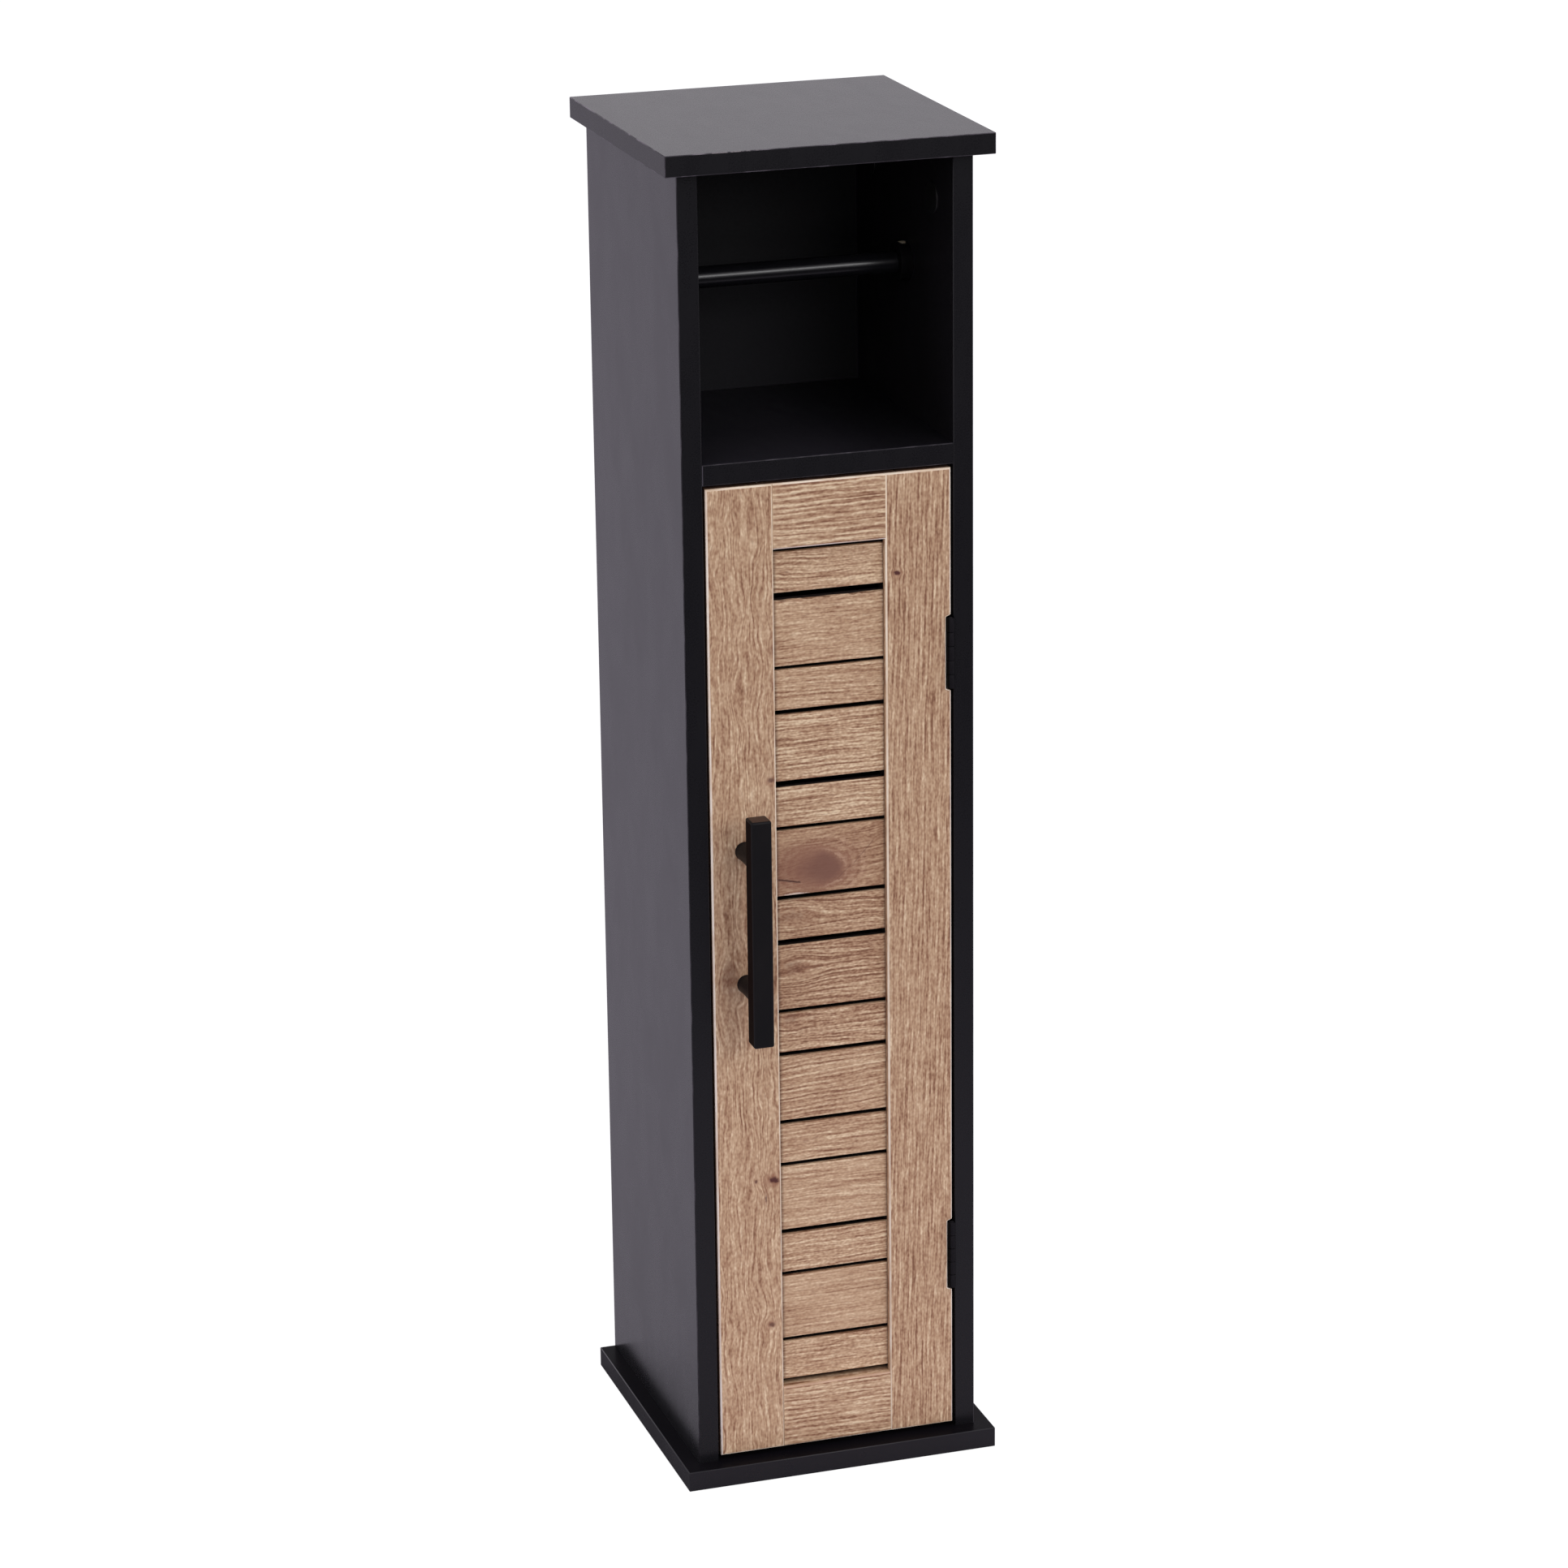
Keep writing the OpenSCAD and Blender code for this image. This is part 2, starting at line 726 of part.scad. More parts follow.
// A stile against x = 0 with its groove at +X. It runs the whole height of the door
module stile() {
    difference() {
        intersection() {
            eased_upright(stile_w, door_t, door_h, ease_r);
            eased_level(stile_w, door_t, door_h, ease_r);
        }
        translate([stile_w - stile_groove, slat_recess, -cut])
            cube([stile_groove + cut, slat_t, door_h + 2 * cut]);
    }
}

module door_left_stile() {
    color(oak) difference() {
        translate([-door_x, door_face_y, door_z]) stile();
        at_handle_screws() translate([0, 0, -cut])
            cylinder(d = handle_screw_d + 4 * seat_fit, h = door_t + 2 * cut);
    }
}

module door_right_stile() {
    color(oak) difference() {
        mirror([1, 0, 0]) translate([-door_x, door_face_y, door_z]) stile();
        for (z = hinge_zs) hinge_notch(z);
        at_door_leaf_screws()
            csk_hole(hinge_screw_d, hinge_screw_l, hinge_screw_head_d, hinge_screw_head_h);
    }
}

// A rail from z = 0, with a tongue at each end that fits the stiles' grooves
module rail() {
    eased_level(2 * opening_x, door_t, rail_w, ease_r);
    translate([-stile_groove + end_play, slat_recess + seat_fit, 0])
        cube([2 * (opening_x + stile_groove - end_play), tongue_t, rail_w]);
}

module door_top_rail() {
    color(oak) difference() {
        translate([-opening_x, door_face_y, door_top_z - rail_w]) rail();
        at_strike_screws()
            csk_hole(small_screw_d, small_screw_l, small_screw_head_d, small_screw_head_h);
    }
}

module door_bottom_rail() {
    color(oak) translate([-opening_x, door_face_y, door_z]) rail();
}

// Height of slat number i, counted from 0 at the top: the even ones are narrow
function slat_h(i) = i % 2 == 0 ? narrow_slat_h : wide_slat_h;

// How far the upper edge of slat number i lies below the opening's upper edge
function slat_drop(i) = i == 0 ? slat_gap : slat_drop(i - 1) + slat_h(i - 1) + slat_gap;

module slat(i) {
    half_l = opening_x + stile_groove - end_play;
    top_z = opening_z + opening_h - slat_drop(i) - slat_slip[i];
    color(oak) board([-half_l, slat_face_y + seat_fit, top_z - slat_h(i)],
                     [half_l, slat_face_y + seat_fit + tongue_t, top_z]);
}

// ---------------------------------------------------------------- handle

module handle_bar() {
    length = handle_h;
    color(black_metal) difference() {
        translate([handle_x - handle_bar / 2, bar_back_y - handle_bar, handle_z - length / 2])
            linear_extrude(length) union() {
                translate([bar_ease, 0]) square([handle_bar - 2 * bar_ease, handle_bar]);
                translate([0, bar_ease]) square([handle_bar, handle_bar - 2 * bar_ease]);
                for (x = [bar_ease, handle_bar - bar_ease], y = [bar_ease, handle_bar - bar_ease])
                    translate([x, y]) circle(bar_ease);
            }
        for (z = post_zs) translate([handle_x, bar_back_y - spigot_l - seat_fit, z])
            bar_y(spigot_d + 2 * seat_fit, spigot_l + seat_fit + cut);
    }
}

module handle_post(z) {
    color(black_metal) difference() {
        union() {
            translate([handle_x, bar_back_y, z]) bar_y(post_d, handle_reach);
            translate([handle_x, bar_back_y - spigot_l, z]) bar_y(spigot_d, spigot_l + 0.001);
        }
        translate([handle_x, door_face_y - handle_screw_bite - seat_fit, z])
            bar_y(handle_screw_d + 2 * seat_fit, handle_screw_bite + seat_fit + cut);
    }
}

module handle_upper_post() { handle_post(post_zs[1]); }
module handle_lower_post() { handle_post(post_zs[0]); }

module handle_screws() {
    color(bright_metal) at_handle_screws() {
        cylinder(d = handle_screw_d, h = door_t + handle_screw_bite);
        translate([0, 0, -handle_screw_head_h])
            cylinder(d = handle_screw_head_d, h = handle_screw_head_h + 0.001);
    }
}

module strike_plate() {
    color(bright_metal) difference() {
        board([catch_x - strike_w / 2, door_back_y, strike_z() - strike_h / 2],
              [catch_x + strike_w / 2, door_back_y + strike_t, strike_z() + strike_h / 2]);
        at_strike_screws()
            csk_hole(small_screw_d, small_screw_l, small_screw_head_d, small_screw_head_h);
    }
}

module strike_screws() {
    color(bright_metal) at_strike_screws()
        csk_screw(small_screw_d, small_screw_l, small_screw_head_d, small_screw_head_h);
}

// ---------------------------------------------------------------- roll rod

// Puts a piece made along +X on the rod's axis, with x = 0 at the cabinet's middle
module on_rod_axis() {
    translate([0, rod_y, rod_z]) children();
}

module rod_tube() {
    color(black_metal) on_rod_axis() difference() {
        translate([tube_left_x, 0, 0]) bar_x(rod_d, tube_right_x - tube_left_x);
        translate([tube_left_x - cut, 0, 0]) bar_x(rod_bore_d, tube_right_x - tube_left_x + 2 * cut);
    }
}

module rod_end_plug() {
    color(black_metal) on_rod_axis() {
        translate([tube_right_x, 0, 0]) bar_x(rod_d, plug_head);
        translate([tube_right_x - plug_l, 0, 0]) bar_x(rod_bore_d - seat_fit, plug_l + 0.001);
    }
}

module rod_guide_bush() {
    color(grey_plastic) on_rod_axis() difference() {
        union() {
            translate([tube_left_x - bush_head, 0, 0]) bar_x(rod_d, bush_head);
            translate([tube_left_x - 0.001, 0, 0]) bar_x(rod_bore_d - seat_fit, bush_l);
        }
        translate([tube_left_x - bush_head - cut, 0, 0])
            bar_x(plunger_d + run_fit, bush_head + bush_l + 2 * cut);
    }
}

module rod_plunger() {
    tip_x = -(cup_floor_x - face_gap);
    color(grey_plastic) on_rod_axis() {
        translate([tip_x, 0, 0]) bar_x(plunger_d, collar_x - tip_x);
        translate([collar_x, 0, 0]) bar_x(rod_bore_d - 2 * run_fit, collar_l);
    }
}

module rod_spring_seat() {
    color(grey_plastic) on_rod_axis()
        translate([spring_x + spring_l, 0, 0]) bar_x(rod_bore_d - seat_fit, seat_l);
}

// A coil of round wire along +X, as one tube swept round the helix
module rod_spring() {
    rings_per_turn = 12;
    sides = 6;
    rings = rings_per_turn * spring_turns;
    wire_r = spring_wire_d / 2;
    coil_r = (spring_d - spring_wire_d) / 2;
    rise = spring_l - spring_wire_d;
    function wire_point(i, j) =
        let (turn = 360 * spring_turns * i / rings,
             side = 360 * j / sides,
             r = coil_r + wire_r * cos(side))
        [spring_x + wire_r + rise * i / rings + wire_r * sin(side), r * cos(turn), r * sin(turn)];
    points = [for (i = [0:rings], j = [0:sides - 1]) wire_point(i, j)];
    walls = [for (i = [0:rings - 1], j = [0:sides - 1])
        let (a = i * sides + j, b = i * sides + (j + 1) % sides)
        each [[a, b, b + sides], [a, b + sides, a + sides]]];
    first_cap = [for (j = [1:sides - 2]) [0, j + 1, j]];
    last = rings * sides;
    last_cap = [for (j = [1:sides - 2]) [last, last + j, last + j + 1]];
    color(bright_metal) on_rod_axis() polyhedron(points, concat(walls, first_cap, last_cap));
}

// ---------------------------------------------------------------- nodes

top_panel();
base_panel();
left_side_panel();
right_side_panel();
middle_shelf();
back_panel();
cam_locks();
cam_bolts();
cam_cover_caps();
wood_dowels();
base_screws();
left_rod_cup();
right_rod_cup();
rod_cup_screws();
magnet_catch_case();
catch_magnet();
catch_pole_plates();
catch_screws();
upper_hinge_frame_leaf();
lower_hinge_frame_leaf();
upper_hinge_pin();
lower_hinge_pin();
hinge_frame_screws();
door_left_stile();
door_right_stile();
door_top_rail();
door_bottom_rail();
upper_hinge_door_leaf();
lower_hinge_door_leaf();
hinge_door_screws();
handle_bar();
handle_upper_post();
handle_lower_post();
handle_screws();
strike_plate();
strike_screws();
rod_tube();
rod_end_plug();
rod_guide_bush();
rod_spring_seat();
rod_spring();
rod_plunger();
slat(0);  // slat_01
slat(1);  // slat_02
slat(2);  // slat_03
slat(3);  // slat_04
slat(4);  // slat_05
slat(5);  // slat_06
slat(6);  // slat_07
slat(7);  // slat_08
slat(8);  // slat_09
slat(9);  // slat_10
slat(10);  // slat_11
slat(11);  // slat_12
slat(12);  // slat_13
slat(13);  // slat_14
slat(14);  // slat_15
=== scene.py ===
"""Looks of a toilet roll storage cabinet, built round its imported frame.

The pieces take their places from the frame's own boxes. Sizes held in the classes are in
millimetres, and meshes are in metres.
"""
import functools
import logging
import math
import random
from abc import ABC, abstractmethod
from collections.abc import Callable, Iterable, Sequence
from dataclasses import dataclass, field, replace
from enum import Enum

import bmesh
import bpy
from mathutils import Matrix, Vector


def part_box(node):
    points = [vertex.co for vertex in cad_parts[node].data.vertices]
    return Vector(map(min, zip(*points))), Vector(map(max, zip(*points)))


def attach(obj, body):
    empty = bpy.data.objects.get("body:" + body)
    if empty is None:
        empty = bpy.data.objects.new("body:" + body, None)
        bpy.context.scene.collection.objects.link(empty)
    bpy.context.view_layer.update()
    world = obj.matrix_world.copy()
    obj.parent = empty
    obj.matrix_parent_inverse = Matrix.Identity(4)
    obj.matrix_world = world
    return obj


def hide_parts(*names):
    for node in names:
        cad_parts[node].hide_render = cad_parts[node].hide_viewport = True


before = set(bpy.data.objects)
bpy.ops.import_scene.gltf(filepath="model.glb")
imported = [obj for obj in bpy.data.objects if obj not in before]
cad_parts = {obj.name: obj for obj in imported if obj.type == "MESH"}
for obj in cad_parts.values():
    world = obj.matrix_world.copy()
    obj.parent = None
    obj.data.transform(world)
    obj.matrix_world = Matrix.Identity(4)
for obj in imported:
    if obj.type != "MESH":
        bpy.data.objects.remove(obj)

LOG = logging.getLogger("cabinet")
MM = 0.001           # a millimetre in metres
SAME_PLACE = 1e-6    # metres within which two points are one
SQUARE = 0.9995      # the part of its normal that a face square to an axis has along it
LEFT, RIGHT = Vector((-1, 0, 0)), Vector((1, 0, 0))
FRONT, DOWN, UP = Vector((0, -1, 0)), Vector((0, 0, -1)), Vector((0, 0, 1))
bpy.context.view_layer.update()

Span = tuple[float, float]
Triple = tuple[float, float, float]
Colour = Triple


def srgb(red: int, green: int, blue: int) -> Colour:
    """Turns a display colour of 0 to 255 into the linear colour that a shader takes.

    Args:
        red: The colour's red part.
        green: Its green part.
        blue: Its blue part.

    Returns:
        The linear colour.
    """

    def linear(level: int) -> float:
        """One part of the colour, made linear."""
        share = level / 255
        return share / 12.92 if share <= 0.04045 else ((share + 0.055) / 1.055) ** 2.4

    return linear(red), linear(green), linear(blue)


class Body(Enum):
    """The bodies that a piece can ride on."""

    CABINET = "cabinet"
    DOOR = "door"
    ROD = "rod"
    PLUNGER = "plunger"


class Grain(Enum):
    """The way that the oak's grain runs on the standing door."""

    UPRIGHT = "upright"
    LEVEL = "level"


class HeadShape(Enum):
    """The two kinds of screw head in the cabinet."""

    COUNTERSUNK = "countersunk"
    PAN = "pan"


# ---------------------------------------------------------------- shader writing


class Quantity:
    """A number or vector that a node gives, with Python's arithmetic on it."""

    def __init__(self, recipe: "Recipe", socket: bpy.types.NodeSocket) -> None:
        """Holds the output socket and the recipe that it belongs to.

        Args:
            recipe: The node tree's writer.
            socket: The output socket that gives the value.
        """
        self.recipe = recipe
        self.socket = socket

    def _math(self, operation: str, first: "Operand", second: "Operand") -> "Quantity":
        """Adds a Math node.

        Args:
            operation: The node's operation.
            first: Its first operand.
            second: Its second operand.

        Returns:
            The node's result.
        """
        return self.recipe.take("ShaderNodeMath", {"operation": operation}, {0: first, 1: second})

    def __add__(self, other: "Operand") -> "Quantity":
        """Adds."""
        return self._math("ADD", self, other)

    def __radd__(self, other: "Operand") -> "Quantity":
        """Adds, with the number on the left."""
        return self._math("ADD", other, self)

    def __sub__(self, other: "Operand") -> "Quantity":
        """Subtracts."""
        return self._math("SUBTRACT", self, other)

    def __rsub__(self, other: "Operand") -> "Quantity":
        """Subtracts from a number on the left."""
        return self._math("SUBTRACT", other, self)

    def __mul__(self, other: "Operand") -> "Quantity":
        """Multiplies."""
        return self._math("MULTIPLY", self, other)

    def __rmul__(self, other: "Operand") -> "Quantity":
        """Multiplies, with the number on the left."""
        return self._math("MULTIPLY", other, self)

    def __truediv__(self, other: "Operand") -> "Quantity":
        """Divides."""
        return self._math("DIVIDE", self, other)

    def __rtruediv__(self, other: "Operand") -> "Quantity":
        """Divides a number on the left."""
        return self._math("DIVIDE", other, self)

    def __pow__(self, other: "Operand") -> "Quantity":
        """Raises to a power."""
        return self._math("POWER", self, other)

    def __rpow__(self, other: "Operand") -> "Quantity":
        """Raises a number on the left to this power."""
        return self._math("POWER", other, self)

    def larger(self, other: "Operand") -> "Quantity":
        """The larger of the two."""
        return self._math("MAXIMUM", self, other)

    def sine(self) -> "Quantity":
        """The sine of an angle in radians."""
        return self.recipe.take("ShaderNodeMath", {"operation": "SINE"}, {0: self})

    def rise(self, low: float, high: float) -> "Quantity":
        """Goes smoothly from 0 at low to 1 at high, or the other way where low is the larger.

        Args:
            low: Where the result is 0.
            high: Where the result is 1.

        Returns:
            The smooth step.
        """
        settings = {"interpolation_type": "SMOOTHSTEP"}
        if low < high:
            return self.recipe.take("ShaderNodeMapRange", settings,
                                    {"Value": self, "From Min": low, "From Max": high})
        return 1 - self.rise(high, low)


Operand = Quantity | float


@dataclass(frozen=True)
class Place:
    """A surface point's place on its object in millimetres, by its parts and as one vector."""

    x: Quantity
    y: Quantity
    z: Quantity
    point: Quantity


class Recipe:
    """Writes the node tree of one material or of the world."""

    def __init__(self, owner: bpy.types.Material | bpy.types.World) -> None:
        """Clears the owner's node tree for writing.

        Args:
            owner: The material or world whose nodes are written.
        """
        owner.use_nodes = True
        self.tree = owner.node_tree
        self.tree.nodes.clear()

    def node(self, kind: str, settings: dict | None = None,
             inputs: dict | None = None) -> bpy.types.Node:
        """Adds any node.

        Args:
            kind: The node's type.
            settings: Its properties, and a ramp's stops as pairs of place and colour.
            inputs: A number, colour or Quantity for each input's name or number.

        Returns:
            The new node.
        """
        made = self.tree.nodes.new(kind)
        for name, setting in (settings or {}).items():
            if name == "stops":
                self._set_stops(made.color_ramp, setting)
            else:
                setattr(made, name, setting)
        for key, value in (inputs or {}).items():
            socket = self._open_socket(made.inputs, key)
            if isinstance(value, Quantity):
                self.tree.links.new(value.socket, socket)
            else:
                socket.default_value = value
        return made

    def take(self, kind: str, settings: dict | None = None, inputs: dict | None = None,
             output: str | int = 0) -> Quantity:
        """Adds a node and gives one of its outputs.

        Args:
            kind: The node's type.
            settings: Its properties.
            inputs: Its input values.
            output: The output's name, or its number among the outputs in use.

        Returns:
            That output.
        """
        made = self.node(kind, settings, inputs)
        return Quantity(self, self._open_socket(made.outputs, output))

    @staticmethod
    def _open_socket(sockets: Sequence[bpy.types.NodeSocket],
                     key: str | int) -> bpy.types.NodeSocket:
        """Finds a socket among those that the node's settings leave in use.

        Args:
            sockets: The node's inputs or its outputs.
            key: The socket's name, or its number among those in use.

        Returns:
            The socket.
        """
        in_use = [socket for socket in sockets if socket.enabled]
        if isinstance(key, int):
            return in_use[key]
        return next(socket for socket in in_use if socket.name == key)

    @staticmethod
    def _set_stops(ramp: bpy.types.ColorRamp, stops: Sequence[tuple[float, Colour]]) -> None:
        """Gives a colour ramp its stops.

        Args:
            ramp: The ramp.
            stops: Pairs of place and colour, from left to right.
        """
        while len(ramp.elements) < len(stops):
            ramp.elements.new(0.5)
        for element, (place, colour) in zip(ramp.elements, stops):
            element.position = place
            element.color = (*colour, 1.0)

    def place(self) -> Place:
        """Reads where the surface point lies.

        Returns:
            The point's place on its object.
        """
        point = self.take("ShaderNodeTexCoord", output="Object")
        scaled = self.take("ShaderNodeVectorMath", {"operation": "SCALE"},
                           {"Vector": point, "Scale": 1 / MM})
        split = self.node("ShaderNodeSeparateXYZ", inputs={"Vector": scaled})
        return Place(*(Quantity(self, split.outputs[axis]) for axis in "XYZ"), scaled)

    def vector(self, x: Operand, y: Operand, z: Operand) -> Quantity:
        """Joins three numbers into a vector."""
        return self.take("ShaderNodeCombineXYZ", inputs={"X": x, "Y": y, "Z": z})

    def noise(self, point: Quantity, size: float | Triple, detail: float = 2.0) -> Quantity:
        """Noise whose blotches have the given size.

        Args:
            point: Where it is read, in millimetres.
            size: The blotches' size in millimetres, as one number or along each axis.
            detail: The number of finer layers.

        Returns:
            Numbers round 0, mostly within -0.3 and 0.3.
        """
        sizes = size if isinstance(size, tuple) else (size,) * 3
        scaled = self.take("ShaderNodeVectorMath", {"operation": "DIVIDE"}, {0: point, 1: sizes})
        inputs = {"Vector": scaled, "Scale": 1.0, "Detail": detail}
        return self.take("ShaderNodeTexNoise", inputs=inputs) - 0.5

    def mixed(self, share: Operand, first: Quantity | Colour,
              second: Quantity | Colour) -> Quantity:
        """Blends two colours.

        Args:
            share: 0 for the first colour and 1 for the second.
            first: The first colour.
            second: The second colour.

        Returns:
            The blend.
        """
        ends = {name: value if isinstance(value, Quantity) else (*value, 1.0)
                for name, value in (("A", first), ("B", second))}
        return self.take("ShaderNodeMix", {"data_type": "RGBA"}, {"Factor": share, **ends})

    def bump(self, height: Quantity, depth: float) -> Quantity:
        """A normal bent by a height.

        Args:
            height: The height in units of depth.
            depth: The depth in millimetres of a height of 1.

        Returns:
            The bent normal.
        """
        inputs = {"Strength": 1.0, "Distance": depth * MM, "Height": height}
        return self.take("ShaderNodeBump", inputs=inputs)

    def coat(self, inputs: dict) -> None:
        """Ends the recipe with a Principled shader of the given inputs."""
        shader = self.take("ShaderNodeBsdfPrincipled", inputs=inputs)
        self.node("ShaderNodeOutputMaterial", inputs={"Surface": shader})


# ---------------------------------------------------------------- finishes


class Finish(ABC):
    """A surface finish that can be made into a material."""

    name: str

    @abstractmethod
    def write(self, recipe: Recipe) -> None:
        """Writes the finish's nodes.

        Args:
            recipe: The writer of the material's node tree.
        """


@functools.cache
def material_of(finish: Finish) -> bpy.types.Material:
    """The one material of a finish, made when it is first asked for.

    Args:
        finish: The finish.

    Returns:
        Its material.
    """
    made = bpy.data.materials.new(finish.name)
    finish.write(Recipe(made))
    return made


@dataclass(frozen=True)
class BlackBoard(Finish):
    """Satin black melamine: a pressed film with a fine pebble and faint wiping marks.

    Attributes:
        painted_joint_shade: Where along Y painted shade darkens the board into a joint, if it
            does.
        dusk: Where along X the painted shade of a deep corner comes up, if it does.
    """

    name: str = "black_melamine"
    colour: Colour = srgb(18, 18, 21)
    fade: Colour = srgb(22, 21, 24)
    roughness: float = 0.28
    ior: float = 1.33
    pebble: float = 0.9
    pebble_depth: float = 0.006
    smear: float = 0.1
    painted_joint_shade: Span | None = None
    painted_joint_shade_colour: Colour = srgb(6, 6, 7)
    dusk: Span | None = None
    dusk_colour: Colour = srgb(5, 5, 6)

    def write(self, recipe: Recipe) -> None:
        """Writes the film with its pebble, its wiping marks and its painted shades.

        Args:
            recipe: The writer of the material's node tree.
        """
        at = recipe.place()
        cloud = recipe.noise(at.point, (70.0, 70.0, 90.0), 2)
        pebbles = recipe.noise(at.point, self.pebble, 3)
        smears = recipe.noise(at.point, (9.0, 26.0, 40.0), 3)
        colour = recipe.mixed(0.5 + cloud * 1.6, self.colour, self.fade)
        # Painted shade: the board darkens into the joint along Y.
        if self.painted_joint_shade is not None:
            colour = recipe.mixed(at.y.rise(*self.painted_joint_shade), colour, self.painted_joint_shade_colour)
        # Painted shade: the board darkens towards a deep corner along X.
        if self.dusk is not None:
            colour = recipe.mixed(at.x.rise(*self.dusk) * 0.6, colour, self.dusk_colour)
        recipe.coat({
            "Base Color": colour,
            "Roughness": self.roughness + smears * self.smear + pebbles * 0.08,
            "IOR": self.ior,
            "Normal": recipe.bump(pebbles, self.pebble_depth),
        })


@dataclass(frozen=True)
class BoardEdge(Finish):
    """The eased arris of a black board, lighter than its film as painted highlight, and paler in
    stretches.

    Attributes:
        chipped: The stretch along X that is chipped, if there is one.
        chip_heights: Where along Z the chips come up, which keeps them on the upper arris.
    """

    name: str = "black_board_arris"
    colour: Colour = srgb(44, 42, 46)
    pale: Colour = srgb(96, 92, 98)
    chipped: Span | None = None
    chip_heights: Span = (784.0, 786.0)
    chip_colour: Colour = srgb(124, 118, 120)

    def write(self, recipe: Recipe) -> None:
        """Writes the arris's painted highlight, paler in stretches, and its chips.

        Args:
            recipe: The writer of the material's node tree.
        """
        at = recipe.place()
        # Painted highlight: the arris is lighter than the film, and paler where this mask is high.
        pale_stretches = recipe.noise(at.point, (14.0, 14.0, 22.0), 4).rise(-0.05, 0.22)
        colour = recipe.mixed(pale_stretches, self.colour, self.pale)
        if self.chipped is not None:
            left, right = self.chipped
            apart = (at.x - (left + right) / 2) / ((right - left) / 2)
            chips = recipe.noise(at.point, 3.0, 3).rise(-0.02, 0.08)
            share = (apart * apart).rise(1.3, 0.6) * chips * at.z.rise(*self.chip_heights)
            colour = recipe.mixed(share, colour, self.chip_colour)
        recipe.coat({
            "Base Color": colour,
            "Roughness": 0.5 + pale_stretches * 0.15,
            "IOR": 1.3,
        })


@dataclass(frozen=True)
class Hardboard(Finish):
    """Black painted hardboard with a faint woven back.

    Attributes:
        weave: The length of one thread of the weave.
        dusk_up: Where along Z the shade under the top comes up.
        dusk_right: Where along X the shade of the niche's right corner comes up.
    """

    name: str = "black_hardboard"
    weave: float = 2.2
    dusk_up: Span = (630.0, 760.0)
    dusk_right: Span = (5.0, 66.0)

    def write(self, recipe: Recipe) -> None:
        """Writes the paint over its fibres and weave, with painted shade under the top and in the
        niche's right corner.

        Args:
            recipe: The writer of the material's node tree.
        """
        at = recipe.place()
        fibre = recipe.noise(at.point, 1.1, 4)
        turn = 2 * math.pi / self.weave
        threads = (at.x * turn).sine() * (at.z * turn).sine()
        paint = recipe.mixed(0.5 + fibre, srgb(12, 12, 16), srgb(17, 16, 21))
        # Painted shade: the paint darkens under the top and towards the niche's right corner.
        dusk = (at.z.rise(*self.dusk_up) * 0.85).larger(at.x.rise(*self.dusk_right) * 0.8)
        recipe.coat({
            "Base Color": recipe.mixed(dusk, paint, srgb(6, 6, 8)),
            "Roughness": 0.62 + fibre * 0.2,
            "IOR": 1.3,
            "Normal": recipe.bump(fibre + threads * 0.3, 0.03),
        })


@dataclass(frozen=True)
class Knot:
    """A knot in the oak, which darkens the board and turns the grain round it.

    Attributes:
        x: Its middle along X in millimetres.
        z: Its middle along Z.
        half_x: Half its width.
        half_z: Half its height.
        depth: How dark it is, from 0 to 1.
        halo: How many times its own size the shade round it reaches.
        soft: How soft the rim of its dark core is.
    """

    x: float
    z: float
    half_x: float
    half_z: float
    depth: float = 0.8
    halo: float = 2.2
    soft: float = 0.9


@dataclass(frozen=True)
class Patch:
    """An oval of another colour, crisp on its right, with a pale rim and rings in the grain there.

    Attributes:
        x: Its middle along X in millimetres.
        z: Its middle along Z.
        half_x: Half its width.
        half_z: Half its height.
        depth: How much of the foil it covers, from 0 to 1.
        colour: Its colour.
        fray: How ragged its rim is.
        rim: How much its pale rim shows, from 0 to 1.
        rings: How much the rings round it show.
    """

    x: float
    z: float
    half_x: float
    half_z: float
    depth: float
    colour: Colour
    fray: float = 0.25
    rim: float = 0.5
    rings: float = 0.0


@dataclass(frozen=True)
class Crack:
    """A thin straight line in the foil, dark or pale.

    Attributes:
        x: Its middle along X in millimetres.
        z: Its middle along Z.
        half_length: Half its length along X.
        half_width: Half its width along Z.
        slope: How far it rises along Z for each millimetre along X.
        depth: How much it shows, from 0 to 1.
        colour: Its colour.
    """

    x: float
    z: float
    half_length: float
    half_width: float
    slope: float
    depth: float
    colour: Colour


